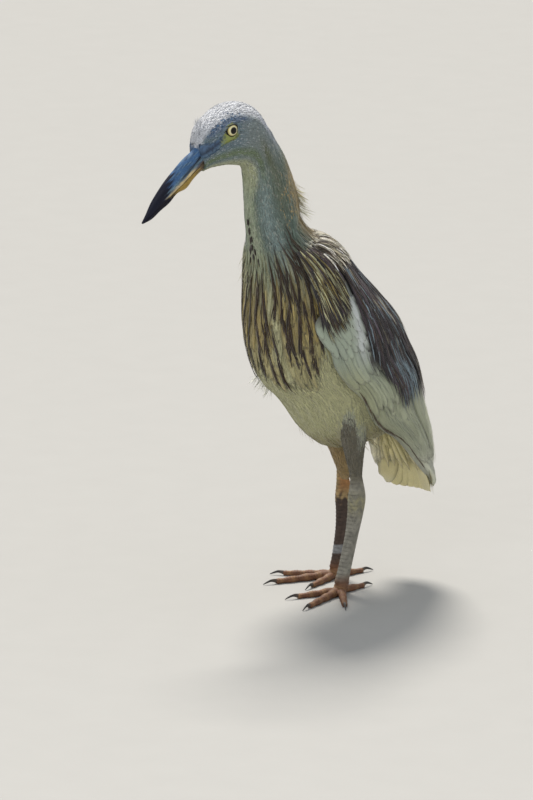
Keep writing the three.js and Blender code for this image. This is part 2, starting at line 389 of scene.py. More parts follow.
BODY = RibbedForm(
    [
        [-107, 289, -111.5, 308, 7, 0],  # the face at the bill
        [-104, 291, -110, 315.5, 9, 0],
        [-99, 292.5, -107.5, 321.5, 11.5, 0],
        [-92, 293, -100.5, 327.5, 13.5, 0],
        [-85, 293, -90.5, 333, 14.5, 0],
        [-79.5, 292, -78.5, 334, 14.5, 0],
        [-74, 291, -66, 329.5, 14.5, 0],
        [-70, 286, -58, 320, 14.5, 0],
        [-69, 278.5, -50.5, 308.5, 14.5, 0],  # the throat
        [-69.5, 270, -43, 298, 14.5, 0],
        [-69, 260.5, -38, 287.5, 15, 0],
        [-68.5, 252, -34, 277, 16, 0],
        [-66.5, 243, -32.5, 266.5, 18.5, 0],  # the foot of the neck
        [-65, 232.5, -27.5, 252.5, 26, 0],
        [-64, 218, -11.5, 236.5, 35, 0.04],
        [-64, 202, 4, 217.5, 41, 0.08],
        [-65, 185, 19.5, 200, 43.5, 0.08],
        [-63, 164.5, 35, 183.5, 43.5, 0.08],
        [-55, 144, 44.5, 165.5, 42, 0.08],
        [-39, 129, 51.5, 148.5, 39.5, 0.05],
        [-26, 110.5, 55, 132.5, 34, 0.03],
        [-9.5, 96.5, 56, 117.5, 25, 0],
        [9, 92.5, 50.5, 103.5, 13, 0],  # the vent
    ]
)
# The hull of the folded wings: the trunk's back carried on to the wing tips.
HULL = RibbedForm(
    [
        [-63, 233, -22.5, 245, 31, 0.05],
        [-62.5, 218, -8, 235, 39.5, 0.08],
        [-62, 201.5, 5, 218, 45.5, 0.1],
        [-64, 185, 21.5, 201.5, 48, 0.12],
        [-62, 164.5, 37.5, 184.5, 48, 0.12],
        [-55, 144, 48, 166.5, 46.5, 0.12],
        [-36.5, 129, 56, 150.5, 44.5, 0.1],
        [-22, 108, 63.5, 127, 40, 0.08],
        [5.5, 95.5, 71, 106, 33, 0.05],
        [33, 80, 75.5, 86.5, 26, 0],
        [59, 67, 77.5, 69, 19, 0],
        [69.5, 56.5, 76.5, 56.5, 13, 0],
    ]
)
BILL = RibbedForm(
    [
        [-150.5, 261.5, -151.5, 262, 0.5, 0],  # the tip
        [-143.5, 264, -148, 267.5, 1.7, 0],
        [-137, 268.7, -144, 274.5, 2.8, 0],
        [-130.5, 272.8, -138.5, 281.5, 3.8, 0],
        [-124.5, 278.4, -132.5, 288, 4.6, 0],
        [-117.5, 281, -126, 294, 5.2, 0],
        [-112, 286.6, -119, 300, 5.6, 0],
        [-106.5, 290.8, -111.5, 305, 6, 0],
        [-100, 294, -104.5, 311, 6, 0],  # inside the face
    ]
)
TAIL = Fan(
    [
        [40, 122, 12, 3, 10],
        [52, 100, 20, 6, 7],
        [61, 84, 27, 9, 4],
        [69, 67, 31, 13, 2.4],
        [73, 55.5, 31, 15, 1.2],
    ],
    rounding=10,
)


@dataclass(frozen=True)
class LegPlan:
    """Where one leg's joints are."""

    knee: Spot
    garter: Spot  # where the feathers end
    ankle: Spot
    foot: Spot
    turn: float  # how far the foot points outwards, in degrees


LEGS = {
    Side.LEFT: LegPlan((24, -6, 136), (18.5, 4.2, 86), (18, 5.4, 58), (18, -6.6, 6), 20),
    Side.RIGHT: LegPlan((-24, 10, 132), (-18.5, 20.4, 78), (-18, 21.4, 50), (-18, 15.4, 6), 6),
}
THIGH_RADII = (10, 10.4, 9.4, 7.6, 5.6, 4)
SHANK_RADII = (3.6, 3.5, 3.6, 4.9, 6.5, 5.8, 4.9, 4.7, 4.8, 5.5)
THIGHS = {side: Limb([plan.knee, plan.garter], THIGH_RADII, 0.85) for side, plan in LEGS.items()}


# ---- meshes ----


def add_object(name: str, data: bpy.types.ID) -> Piece:
    """Adds an object with this data to the scene.

    Args:
        name: The object's name.
        data: What the object holds.

    Returns:
        The object.
    """
    made = bpy.data.objects.new(name, data)
    bpy.context.scene.collection.objects.link(made)
    return made


def add_mesh(name: str, points: Array, faces: Sequence[Sequence[int]]) -> Piece:
    """Adds an object whose mesh has these points, in bird millimetres, and faces.

    Args:
        name: The object's name.
        points: Places in bird millimetres.
        faces: The numbers of each face's points.

    Returns:
        The object.
    """
    mesh = bpy.data.meshes.new(name)
    mesh.from_pydata(in_row(points).tolist(), [], faces)
    return add_object(name, mesh)


def deselect_all() -> None:
    """Leaves object mode with nothing selected."""
    if bpy.context.object and bpy.context.object.mode != "OBJECT":
        bpy.ops.object.mode_set(mode="OBJECT")
    bpy.ops.object.select_all(action="DESELECT")


def select_only(piece: Piece) -> None:
    """Makes one object the only selected one, and the active one.

    Args:
        piece: The piece.
    """
    deselect_all()
    piece.select_set(True)
    bpy.context.view_layer.objects.active = piece


def apply(piece: Piece, kind: str, **settings: object) -> None:
    """Adds one modifier to a piece and applies it.

    Args:
        piece: The piece.
        kind: The modifier's type.
        settings: Its settings.
    """
    select_only(piece)
    modifier = piece.modifiers.new(kind.title(), kind)
    for key, value in settings.items():
        setattr(modifier, key, value)
    bpy.ops.object.modifier_apply(modifier=modifier.name)


@contextmanager
def editing(piece: Piece) -> Iterator[None]:
    """Opens a piece in edit mode with all of it selected, and closes it again.

    Args:
        piece: The piece.

    Yields:
        Nothing, while it is open.
    """
    select_only(piece)
    bpy.ops.object.mode_set(mode="EDIT")
    bpy.ops.mesh.select_all(action="SELECT")
    yield
    bpy.ops.object.mode_set(mode="OBJECT")


def face_outwards(piece: Piece, smooth_shade: bool = True) -> None:
    """Turns a piece's faces outwards.

    Args:
        piece: The piece.
        smooth_shade: Whether it is also shaded smooth.
    """
    with editing(piece):
        bpy.ops.mesh.normals_make_consistent(inside=False)
    if smooth_shade:
        bpy.ops.object.shade_smooth()


def add_ball(name: str, segments: int, rings: int) -> Piece:
    """Adds a ball of radius 1.

    Args:
        name: The piece's name.
        segments: Points round it.
        rings: Rows from pole to pole.

    Returns:
        The ball.
    """
    deselect_all()
    bpy.ops.mesh.primitive_uv_sphere_add(segments=segments, ring_count=rings, radius=1)
    bpy.context.object.name = name
    return bpy.context.object


def join(parts: Sequence[Piece], name: str) -> Piece:
    """Joins objects into the first of them, under a new name.

    Args:
        parts: The objects.
        name: The name.

    Returns:
        The joined object.
    """
    select_only(parts[0])
    for part in parts:
        part.select_set(True)
    bpy.ops.object.join()
    parts[0].name = name
    return parts[0]


def remesh(piece: Piece, voxel: float, passes: int) -> None:
    """Makes a piece one even skin of voxels that size in millimetres, and smooths it."""
    apply(piece, "REMESH", mode="VOXEL", voxel_size=voxel * MM, use_smooth_shade=True)
    apply(piece, "SMOOTH", factor=0.5, iterations=passes)


def vertices(piece: Piece, key: str = "co") -> Array:
    """Reads a piece's vertices as its mesh keeps them.

    Args:
        piece: The piece.
        key: "co" for places or "normal" for normals.

    Returns:
        One row for each vertex.
    """
    flat = np.empty(len(piece.data.vertices) * 3)
    piece.data.vertices.foreach_get(key, flat)
    return flat.reshape(-1, 3)


def coordinates(piece: Piece) -> Array:
    """A piece's vertices, in bird millimetres."""
    return in_bird(vertices(piece))


def nearest(points: Array, samples: Sequence[Array], count: int) -> tuple[Array, Array]:
    """Finds the sampled places nearest to some points.

    Args:
        points: The points.
        samples: Batches of sampled places.
        count: How many places are found for each point.

    Returns:
        The places' numbers and their distances, by point.
    """
    places = np.vstack(samples)
    tree = KDTree(len(places))
    for index, spot in enumerate(places):
        tree.insert(spot, index)
    tree.balance()
    found = [tree.find_n(Vector(point), count) for point in points]
    numbers = [[hit[1] for hit in hits] for hits in found]
    return np.array(numbers), np.array([[hit[2] for hit in hits] for hits in found])


def place(piece: Piece, points: Array) -> None:
    """Puts a piece's vertices at these bird millimetres."""
    piece.data.vertices.foreach_set("co", in_row(points).ravel())
    piece.data.update()


def tint(piece: Piece, colours: Array) -> None:
    """Gives a piece one linear colour for each vertex."""
    layer = piece.data.color_attributes.new(TINT, "FLOAT_COLOR", "POINT")
    layer.data.foreach_set("color", np.insert(np.clip(colours, 0, 1), 3, 1.0, 1).ravel())


def finish_piece(piece: Piece, finish: "Finish", nodes: Sequence[str] = ()) -> Piece:
    """Dresses a piece, sets it on the bird's body and hides the solids that it replaces.

    Args:
        piece: The piece, with its final mesh.
        finish: Its finish.
        nodes: The solids that it replaces.

    Returns:
        The piece.
    """
    piece.data.materials.clear()
    piece.data.materials.append(bpy.data.materials.get(finish.name) or finish.material())
    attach(piece, BODY_NAME)
    if nodes:
        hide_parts(*nodes)
    faces = sum(len(p.vertices) - 2 for p in piece.data.polygons)
    log.info("%s: %d triangles", piece.name, faces)
    return piece


@dataclass
class Joined:
    """Collects many small closed shapes, each a tube of rings ending in a tip, as one mesh."""

    name: str
    count: int = 0  # of vertices so far
    places: list[Array] = field(default_factory=list)
    quads: list[Array] = field(default_factory=list)
    triangles: list[Array] = field(default_factory=list)
    tints: list[Array] = field(default_factory=list)
    patches: list[Array] = field(default_factory=list)

    def add(self, rings: Array, tips: Array, colours: Array, patch: Array) -> None:
        """Adds a batch of shapes that have equal numbers of rings and ring points.

        Args:
            rings: Points by shape, ring and place round the ring, anticlockwise seen from the tip.
            tips: One point for each shape.
            colours: Linear colours by shape and ring, with one more for the tip.
            patch: Where each shape's patch lies on the bake map, two numbers for each shape.
        """
        shapes, depth, round_ = rings.shape[:3]
        each = depth * round_ + 1
        block = np.concatenate([rings.reshape(shapes, -1, 3), tips[:, None]], 1)
        first = self.count + np.arange(shapes)[:, None, None] * each
        j = np.arange(round_)
        after = (j + 1) % round_
        k = np.arange(depth - 1)[:, None] * round_
        quad = np.stack([k + j, k + after, k + after + round_, k + j + round_], -1).reshape(-1, 4)
        top = (depth - 1) * round_
        ends = np.stack([top + j, top + after, np.full(round_, each - 1)], -1)
        inner = np.arange(1, round_ - 1)
        caps = np.stack([np.zeros(round_ - 2, int), inner + 1, inner], -1)
        self.quads.append((first + quad).reshape(-1, 4))
        self.triangles.append((first + np.vstack([ends, caps])).reshape(-1, 3))
        self.places.append(block.reshape(-1, 3))
        ringed = np.repeat(colours[:, :depth], round_, 1)
        self.tints.append(np.concatenate([ringed, colours[:, depth:]], 1).reshape(-1, 3))
        turn = np.tile(2 * np.pi * j / round_, depth)
        out = np.repeat(np.linspace(1, 0.3, depth), round_) * PATCH_REACH
        spread = np.stack([np.cos(turn) * out, np.sin(turn) * out], -1)
        spread = np.vstack([spread, [[0, 0]]])
        self.patches.append((patch[:, None] + spread).reshape(-1, 2))
        self.count += shapes * each

    def build(self, finish: "Finish", slot: str, nodes: Sequence[str] = ()) -> Piece:
        """Makes the collected shapes one finished piece.

        Args:
            finish: Its finish.
            slot: Not used.
            nodes: The solids that it replaces.

        Returns:
            The piece, with its colours and its bake map.
        """
        quads, triangles = np.vstack(self.quads), np.vstack(self.triangles)
        piece = add_mesh(self.name, np.vstack(self.places), [*quads.tolist(), *triangles.tolist()])
        piece.data.shade_smooth()
        corners = np.concatenate([quads.ravel(), triangles.ravel()])
        layer = piece.data.uv_layers.new(name=BAKE_MAP)
        layer.data.foreach_set("uv", np.vstack(self.patches)[corners].ravel())
        tint(piece, np.vstack(self.tints))
        return finish_piece(piece, finish, nodes)


# ---- plumage ----


def scatter(
    form: Form, t_span: Span, a_span: Span, count: int, rng: Random,
    weight: Optional[Density] = None
) -> tuple[Array, Array]:
    """Spreads places evenly over a stretch of a form.

    Args:
        form: The form.
        t_span: The stretch's first and last row number.
        a_span: Its first and last turn.
        count: How many places.
        rng: The random source.
        weight: How dense the places are, as a function of t and a.

    Returns:
        The row numbers and the turns.
    """
    cells = 140
    t_edge = np.linspace(*t_span, cells + 1)
    a_edge = np.linspace(*a_span, cells + 1)
    t_mid, a_mid = (t_edge[1:] + t_edge[:-1]) / 2, (a_edge[1:] + a_edge[:-1]) / 2
    t, a = np.meshgrid(t_mid, a_mid, indexing="ij")
    _, along, around, _ = form.read(t, a)
    area = np.linalg.norm(np.cross(along, around), axis=-1)
    if weight:
        area = area * weight(t, a)
    rows = np.concatenate([[0], np.cumsum(area.sum(1))])
    index = np.arange(count)
    u, v = ((0.5 + index * step + rng.uniform(-0.004, 0.004, count)) % 1 for step in STRIDE)
    t_found = np.interp(u * rows[-1], rows, t_edge)
    row = np.clip(np.searchsorted(t_edge, t_found) - 1, 0, cells - 1)
    columns = np.concatenate([np.zeros((cells, 1)), np.cumsum(area, 1)], 1)
    columns /= columns[:, -1:] + 1e-12
    cell = np.clip((columns[row] < v[:, None]).sum(1) - 1, 0, cells - 1)
    low, high = columns[row, cell], columns[row, cell + 1]
    a_found = a_edge[cell] + (v - low) / (high - low + 1e-12) * (a_edge[1] - a_edge[0])
    return t_found, a_found


@dataclass
class Cut:
    """The cut of one kind of feather: how its width and height run to its tip."""

    shares: tuple[float, ...]  # where the rings lie along the length, the tip's 1 last
    widths: tuple[float, ...]  # each ring's width over the whole, without the tip
    rise: tuple[float, ...]  # each ring's height over the whole, the tip's last
    thickness: float = 0.22


TUFT = Cut((0, 0.5, 1), (0.7, 1.0), (0, 1, 0.85), 0.08)
LOCK = Cut((0, 0.3, 0.7, 1), (0.5, 1.0, 0.8), (0, 0.6, 0.9, 1))
BARB = Cut((0, 0.3, 0.7, 1), (0.5, 1.0, 0.8), (0, 0.8, 1.0, 0.5), 0.05)
PLUME = Cut((0, 0.15, 0.4, 0.65, 0.86, 1), (0.35, 0.8, 1.0, 0.85, 0.5), (0, 0.5, 0.8, 0.95, 1, 1), 0.13)
HAIR = Cut((0, 0.25, 0.5, 0.78, 1), (0.7, 1.0, 0.9, 0.6), (0, 0.6, 0.85, 0.95, 1.0), 0.18)


@dataclass
class Lay:
    """How a batch of feathers lies: one value for each feather."""

    length: Array
    width: Array
    low: Array  # height of the root over the surface
    high: Array  # height of the tip over the surface
    swirl: Array  # turn away from the lie of the coat, in radians
    curl: Array  # how much more it turns by the tip

    @classmethod
    def of(
        cls, count: int, rng: Random, length: Span, width: Span, high: Span, low: float = -0.2,
        swirl: float = 0.1, curl: float = 0.08
    ) -> "Lay":
        """Draws values between the given limits.

        Args:
            count: How many feathers.
            rng: The random source.
            length: Shortest and longest.
            width: Narrowest and widest.
            high: The tips' least and greatest height.
            low: The roots' height.
            swirl: How far the feathers may turn to either side.
            curl: How far they may curl to either side.

        Returns:
            One value of each for each feather.
        """
        return cls(
            rng.uniform(*length, count),
            rng.uniform(*width, count),
            np.full(count, low),
            rng.uniform(*high, count),
            rng.normal(0, swirl, count),
            rng.normal(0, curl, count),
        )

    def pick(self, which: Array) -> "Lay":
        """The same for some of the feathers."""
        return Lay(**{key: value[which] for key, value in vars(self).items()})


class Ground:
    """A mesh's surface that feathers can be settled on."""

    def __init__(self, piece: Piece) -> None:
        """Reads the skin's mesh."""
        faces = [tuple(p.vertices) for p in piece.data.polygons]
        self.tree = BVHTree.FromPolygons([tuple(v) for v in coordinates(piece)], faces)

    def settle(self, points: Array) -> Array:
        """Moves points, in bird millimetres, to the nearest ones of the surface."""
        found = [self.tree.find_nearest(Vector(p))[0] for p in points.reshape(-1, 3)]
        return np.array(found).reshape(points.shape)


def walk(form: Form, t: Array, a: Array, lay: Lay, cut: Cut) -> tuple[Array, Array, Array, Array]:
    """Walks each feather's midline over a form.

    Args:
        form: The form.
        t: The roots' row numbers.
        a: The roots' turns.
        lay: How the feathers lie.
        cut: Where their rings are.

    Returns:
        The midlines' points on the form and the normals there, by feather and ring, and the
        tips' row numbers and turns.
    """
    points, normals = [], []
    t, a = np.array(t, float), np.array(a, float)
    for k, share in enumerate(cut.shares):
        point, along, around, normal = form.read(t, a)
        points.append(point)
        normals.append(normal)
        if k + 1 == len(cut.shares):
            break
        step = lay.length * (cut.shares[k + 1] - share)
        ahead = unit(along)
        beside = unit(around - ahead * (around * ahead).sum(-1, keepdims=True))
        turn = (lay.swirl + lay.curl * share)[:, None]
        heading = ahead * np.cos(turn) + beside * np.sin(turn)
        ee, ff, gg = (along**2).sum(-1), (along * around).sum(-1), (around**2).sum(-1)
        b1, b2 = (heading * along).sum(-1), (heading * around).sum(-1)
        det = ee * gg - ff * ff + 1e-9
        t = np.clip(t + step * (gg * b1 - ff * b2) / det, 0.01, form.last - 0.01)
        a = a + step * (ee * b2 - ff * b1) / det
    return np.stack(points, 1), np.stack(normals, 1), t, a


def feather(
    joined: Joined, midline: Array, normals: Array, lay: Lay, cut: Cut, colours: Array,
    patch: Array, offset: float | Array = 0.0, roll: float | Array = 0.0
) -> None:
    """Adds a batch of small feathers, each a thin closed vane with a ridge.

    Args:
        joined: What collects them.
        midline: Points by feather and ring, the tip last, already at their heights.
        normals: The surface's normals there.
        lay: How the feathers lie.
        cut: Their cut.
        colours: Linear colours by feather and ring, the tip's last, or one for each feather.
        patch: Their places on the bake map.
        offset: How far to the right of the midline they lie, in millimetres, by feather and ring.
        roll: How far they are rolled about the midline, in radians.
    """
    tangent = unit(np.gradient(midline, axis=1))
    side = unit(np.cross(tangent, normals))
    up = np.cross(side, tangent)
    roll = np.asarray(roll, float) * np.ones(len(midline))
    cos, sin = np.cos(roll)[:, None, None], np.sin(roll)[:, None, None]
    side, up = side * cos + up * sin, up * cos - side * sin
    middle = midline + side * (np.ones(midline.shape[:2]) * offset)[..., None]
    half = (lay.width[:, None] * np.array(cut.widths) / 2)[..., None]
    rings = middle[:, :-1]
    left = rings - side[:, :-1] * half
    right = rings + side[:, :-1] * half
    ridge = rings + up[:, :-1] * cut.thickness * np.minimum(1, half)
    if colours.ndim == 2:
        colours = np.repeat(colours[:, None], midline.shape[1], 1)
    joined.add(np.stack([left, ridge, right], 2), middle[:, -1], colours, patch)


@dataclass(frozen=True)
class Strip:
    """One of the strips that lie side by side in a feather."""

    aside: float = 0.0  # how far it lies to one side, as a share of half the feather's width
    width: float = 1.0  # over the feather's
    rise: float = 0.0  # over the feather, in millimetres


def in_map(u: Array, v: Array) -> Array:
    """Puts shares from 0 to 1 just inside the bake map's edges."""
    return 0.01 + 0.98 * np.clip(np.stack([u, v], -1), 0, 1)


@dataclass
class Coat:
    """Feathers that lie on one form, settled on the skin where they are given one."""

    form: Form
    t_span: Span
    a_span: Span  # in degrees
    ground: Optional[Ground] = None

    def patch(self, t: Array, a: Array) -> Array:
        """The roots' places on the bake map."""
        sides = ((a, np.radians(self.a_span)), (t, self.t_span))
        return in_map(*((value - low) / (high - low) for value, (low, high) in sides))

    def roots(
        self, count: int, rng: Random, weight: Optional[Density] = None
    ) -> tuple[Array, Array]:
        """Spreads roots over the whole coat."""
        return scatter(self.form, self.t_span, tuple(np.radians(self.a_span)), count, rng, weight)

    def lay(
        self, joined: Joined, t: Array, a: Array, lay: Lay, cut: Cut, colours: Array,
        roll: float | Array = 0.0, strips: Sequence[Strip] = (Strip(),),
        rng: Optional[Random] = None, spread: float = 0.0
    ) -> None:
        """Lays feathers, each of one or more strips side by side.

        Args:
            joined: What collects them.
            t: The roots' row numbers.
            a: The roots' turns.
            lay: How the feathers lie.
            cut: Their cut.
            colours: One colour for each feather, or one for each of its rings.
            roll: How far the feathers are rolled, in radians.
            strips: The strips of each feather.
            rng: The random source.
            spread: How much lighter or darker a strip may be.
        """
        midline, normals, _, _ = walk(self.form, t, a, lay, cut)
        if self.ground:
            midline = self.ground.settle(midline)
        rise = lay.low[:, None] + (lay.high - lay.low)[:, None] * np.array(cut.rise)
        outline = np.append(np.array(cut.widths), 0.15)
        for strip in strips:
            line = midline + normals * (rise + strip.rise)[..., None]
            thin = Lay(**{**vars(lay), "width": lay.width * strip.width})
            tone = shaded(colours, rng, spread) if spread else colours
            reach = lay.width[:, None] / 2 * strip.aside * outline
            feather(joined, line, normals, thin, cut, tone, self.patch(t, a), reach, roll)

    def piece(self, slot: str, name: str, *feathers: object) -> Piece:
        """Lays one whole piece of soft feathers.

        Args:
            slot: The first word of its name.
            name: The last word of its name.
            feathers: The feathers, as `lay` takes them.

        Returns:
            The piece.
        """
        joined = Joined(f"{slot}_{name}")
        self.lay(joined, *feathers)
        return joined.build(SOFT_FEATHER, slot)


def lowest_first(t: Array, a: Array) -> tuple[Array, Array]:
    """Puts roots in order, so that the upper feathers lie over the lower ones."""
    order = np.argsort(-t)
    return t[order], a[order]


def shaded(colours: Array, rng: Random, spread: float) -> Array:
    """Makes each feather's colour a little lighter or darker at random."""
    tone = np.exp(rng.normal(0, spread, len(colours)))
    return colours * tone.reshape(-1, *[1] * (colours.ndim - 1))


def blend_of(tones: Tones, count: int, rng: Random) -> Array:
    """Draws a colour for each feather, each tone as often as its share says."""
    edges = np.cumsum([share for _, share in tones])
    return np.array([hue for hue, _ in tones])[np.searchsorted(edges / edges[-1], rng.random(count))]


def shades(hue: Array, count: int, rng: Random, spread: float) -> Array:
    """Draws a lighter or darker shade of one colour for each feather."""
    return shaded(np.tile(hue, (count, 1)), rng, spread)


def fade(root: Array, tip: Array, cut: Cut, start: float = 0.05, end: float = 0.5) -> Array:
    """Colours by feather and ring that run from the root's colour to the tip's."""
    return mix(root[:, None], tip[:, None], ramp(np.array(cut.shares), start, end))


class Markings:
    """The bird's markings, as colours for places on its forms. Skin and plumage share them."""

    @staticmethod
    def body(t: Array, a: Array) -> Array:
        """The colours of the head, neck and trunk.

        Args:
            t: Row numbers of the body form.
            a: Turns, in radians.

        Returns:
            Linear colours.
        """
        turn = turned(a)
        head = mix(Hue.FACE_BLUE, Hue.FACE, ramp(t, 3.8, 5.2))
        # Behind the cheek the side of the head is painted olive shade.
        head = mix(head, Hue.FACE_OLIVE, hump(turn, 92, 22) * ramp(t, 5.2, 7))
        head = mix(head, Hue.CROWN, 1 - ramp(turn, 44, 58))
        head = mix(head, Hue.BROW, hump(turn, 57, 11) * ramp(t, 1, 2.2) * (1 - ramp(t, 4.4, 5.6)))
        head = mix(head, Hue.BROW, 0.55 * hump(turn, 40, 30) * ramp(t, 5.2, 6.6))
        head = mix(head, Hue.CHEEK, hump(turn, 121, 17))
        head = mix(head, Hue.THROAT, ramp(turn, 130, 150))
        # The neck's grey-green is painted shade over its pale buff.
        neck = mix(Hue.NECK, Hue.NECK_COOL, hump(turn, 128, 30))
        # Painted olive shade on the side of the upper neck, behind the cheek.
        neck = mix(neck, Hue.FACE_OLIVE, 0.6 * hump(turn, 88, 22) * (1 - ramp(t, 9.5, 12)))
        neck = mix(neck, Hue.HINDNECK, (1 - ramp(turn, 34, 76)) * ramp(t, 7.8, 10.4))
        neck = mix(neck, Hue.FORENECK, ramp(turn, 145, 168))
        breast = mix(Hue.PLUME, Hue.PLUME_PALE, Markings.pale_stripe(t, a))
        breast = mix(breast, Hue.PLUME_PALE, 1 - ramp(t, 13, 14))
        mantle = mix(Hue.MANTLE_PALE, Hue.CAPE, ramp(t, 13.4, 14.6))
        breast = mix(mantle, breast, ramp(turn, 60, 85))
        # The belly's yellow-green cast is painted bounce light, and its olive band near the vent is painted
        # shade.
        belly = mix(Hue.BELLY, Hue.FLANK, 0.6 * hump(t, 20.5, 0.9))
        colour = mix(head, neck, ramp(t, 6.6, 8.6))
        colour = mix(colour, breast, ramp(t, 12.3, 13.4))
        return mix(colour, belly, 1 - Markings.bib(t, a))

    @staticmethod
    def pale_stripe(t: Array, a: Array) -> Array:
        """How much of the pale stripe down each side of the breast a place holds."""
        middle = np.interp(t, (12.5, 13.5, 14.5, 15.5, 17.3), (163, 160, 155, 151, 148))
        return hump(turned(a) - middle, 0, 7.5) * (1 - ramp(t, 17.4, 18.2))

    @staticmethod
    def bib(t: Array, a: Array) -> Array:
        """How much of the streaked bib a place holds.

        Args:
            t: Row numbers.
            a: Turns, in radians.

        Returns:
            A share from 0 to 1.
        """
        turn = turned(a)
        back = np.interp(t, (12, 14, 15.2, 17, 17.5, 18, 18.4), (84, 90, 112, 117, 122, 129, 136))
        end = np.interp(turn, (115, 128, 140, 160, 180), (17.0, 18.1, 18.3, 18.0, 17.4))
        held = ramp(turn - back, -3, 1) * (1 - ramp(t - end, -0.3, 0.1)) + 1 - ramp(t, 12.4, 12.8)
        return np.minimum(held, 1)

    @staticmethod
    def hull(t: Array, a: Array) -> Array:
        """The colours of the mantle and the folded wings, on the hull.

        Args:
            t: Row numbers.
            a: Turns, in radians.

        Returns:
            Linear colours.
        """
        turn = turned(a)
        # Painted shade on the white wing, with a painted blue reflection towards its front.
        wing = mix(Hue.WING_BLUE, Hue.WING, ramp(t, 4, 7))
        warm = hump(turn, 106, 15) * ramp(t, 4.2, 5.2) * (1 - 0.7 * ramp(t, 6.2, 8))
        wing = mix(wing, Hue.WING_WARM, 0.8 * warm)
        wing = mix(wing, Hue.TAIL_WHITE, 0.5 * ramp(t, 7.5, 10))
        stripe = hump(turn - Markings.band_front(t), 4, 7) * (1 - ramp(t, 4, 5))
        wing = mix(wing, Hue.CROWN, 0.6 * stripe)
        shoulder = ramp(turn - Markings.stripe_front(t), -1, 3) * (1 - ramp(t, 2.7, 3.3))
        wing = mix(wing, Hue.CAPE_BROWN, shoulder)
        cape = mix(Hue.MANTLE_PALE, Hue.CAPE, ramp(t, 0.2, 0.9))
        cape = mix(cape, Hue.CAPE_GREY, 0.85 * hump(turn, 66, 12) * ramp(t, 3.2, 4.4))
        edge = np.where(t < 1.8, 100, Markings.band_front(t))
        end = np.interp(turn, (0, 46, 53, 59, 74, 82, 90), (6.9, 6.7, 5.4, 4.7, 4.6, 5.0, 5.0))
        dark = (1 - ramp(turn - edge, -2, 1)) * (1 - ramp(t - end, -0.4, 0.5))
        return mix(wing, cape, dark)

    @staticmethod
    def stripe_front(t: Array) -> Array:
        """The front edge of the pale stripe before the dark band, as a turn in degrees."""
        return np.interp(t, (1.6, 2, 2.6, 3, 3.6, 4.2), (76, 81, 86, 91, 100, 126))

    @staticmethod
    def band_front(t: Array) -> Array:
        """The front edge of the dark band down the wing, as a turn in degrees."""
        return np.interp(t, (1.8, 2.2, 3, 3.5, 4, 4.8, 5.4, 6.6), (74, 76, 80, 83, 86, 90, 93, 96))

    @staticmethod
    def thigh(t: Array, side: Side) -> Array:
        """The colours of a thigh, from its knee at t 0 to its garter at 1: pale with a painted bluish
        highlight at the top, and on the near thigh painted shade below.
        """
        low = Hue.THIGH if side is Side.LEFT else Hue.THIGH_FAR
        return mix(Hue.THIGH_WHITE, low, ramp(t, 0.24, 0.6))


# ---- materials ----


def node(
    tree: bpy.types.NodeTree, kind: str, links: Optional[dict] = None, **settings: object
) -> bpy.types.Node:
    """Adds one node with its settings, socket values and links.

    Args:
        tree: The node tree.
        kind: The shader node's type.
        links: For each input, by name or number, an output socket or a plain value.
        settings: The node's own properties.

    Returns:
        The node.
    """
    made = tree.nodes.new("ShaderNode" + kind)
    for key, value in settings.items():
        setattr(made, key, value)
    for key, value in (links or {}).items():
        if isinstance(value, bpy.types.NodeSocket):
            tree.links.new(value, made.inputs[key])
        else:
            made.inputs[key].default_value = value
    return made


@dataclass(frozen=True)
class Finish:
    """A natural surface in the piece's own colours, which grain and soil make uneven."""

    name: str
    grain: float = 0.9  # millimetres across a fleck
    contrast: float = 0.15  # how much lighter or darker the flecks are
    soil: float = 0.08  # the same for broad patches
    roughness: float = 0.62
    unevenness: float = 0.06  # of the roughness
    relief: float = 0.25
    cells: bool = False  # small scales with sunken edges in place of flecks
    sockets: tuple[tuple[str, float], ...] = (("Specular IOR Level", 0.3),)

    def material(self) -> bpy.types.Material:
        """Builds the material.

        Returns:
            The material.
        """
        material = bpy.data.materials.new(self.name)
        material.use_nodes = True
        tree = material.node_tree
        tree.nodes.clear()
        spot = node(tree, "TexCoord").outputs["Object"]
        colour = node(tree, "Attribute", attribute_name=TINT).outputs["Color"]
        scale = {"Vector": spot, "Scale": 1 / (self.grain * MM)}
        if self.cells:
            made = node(tree, "TexVoronoi", scale, feature="DISTANCE_TO_EDGE")
            fleck, low, high = made.outputs["Distance"], 0.0, 0.14
        else:
            made = node(tree, "TexNoise", {**scale, "Detail": 4.0})
            fleck, low, high = made.outputs["Fac"], 0.3, 0.7
        broad = {"Vector": spot, "Scale": 1 / (BROAD_SOIL * MM), "Detail": 3.0}
        patches = node(tree, "TexNoise", broad).outputs["Fac"]
        spans = (
            (fleck, low, high, 1 - self.contrast, 1 + self.contrast * (0.2 if self.cells else 1)),
            (patches, 0.3, 0.7, 1 - self.soil, 1 + self.soil),
            (patches, 0.3, 0.7, self.roughness - self.unevenness, self.roughness + self.unevenness),
            (fleck, low, high, 0.0, 1.0),
        )
        light, dirt, gloss, height = (
            node(tree, "MapRange", dict(enumerate(span))).outputs["Result"]
            for span in spans
        )
        both = node(tree, "Math", {0: light, 1: dirt}, operation="MULTIPLY")
        scaled = {0: colour, "Scale": both.outputs["Value"]}
        mixed = node(tree, "VectorMath", scaled, operation="SCALE").outputs["Vector"]
        raised = {"Height": height, "Strength": self.relief, "Distance": RELIEF_DEPTH * MM}
        relief = node(tree, "Bump", raised).outputs["Normal"]
        surface = {"Base Color": mixed, "Roughness": gloss, "IOR": KERATIN_IOR, "Normal": relief}
        shader = node(tree, "BsdfPrincipled", {**surface, **dict(self.sockets)})
        node(tree, "OutputMaterial", {"Surface": shader.outputs["BSDF"]})
        return material


SHEEN = (("Sheen Weight", 0.2), ("Sheen Roughness", 0.5))
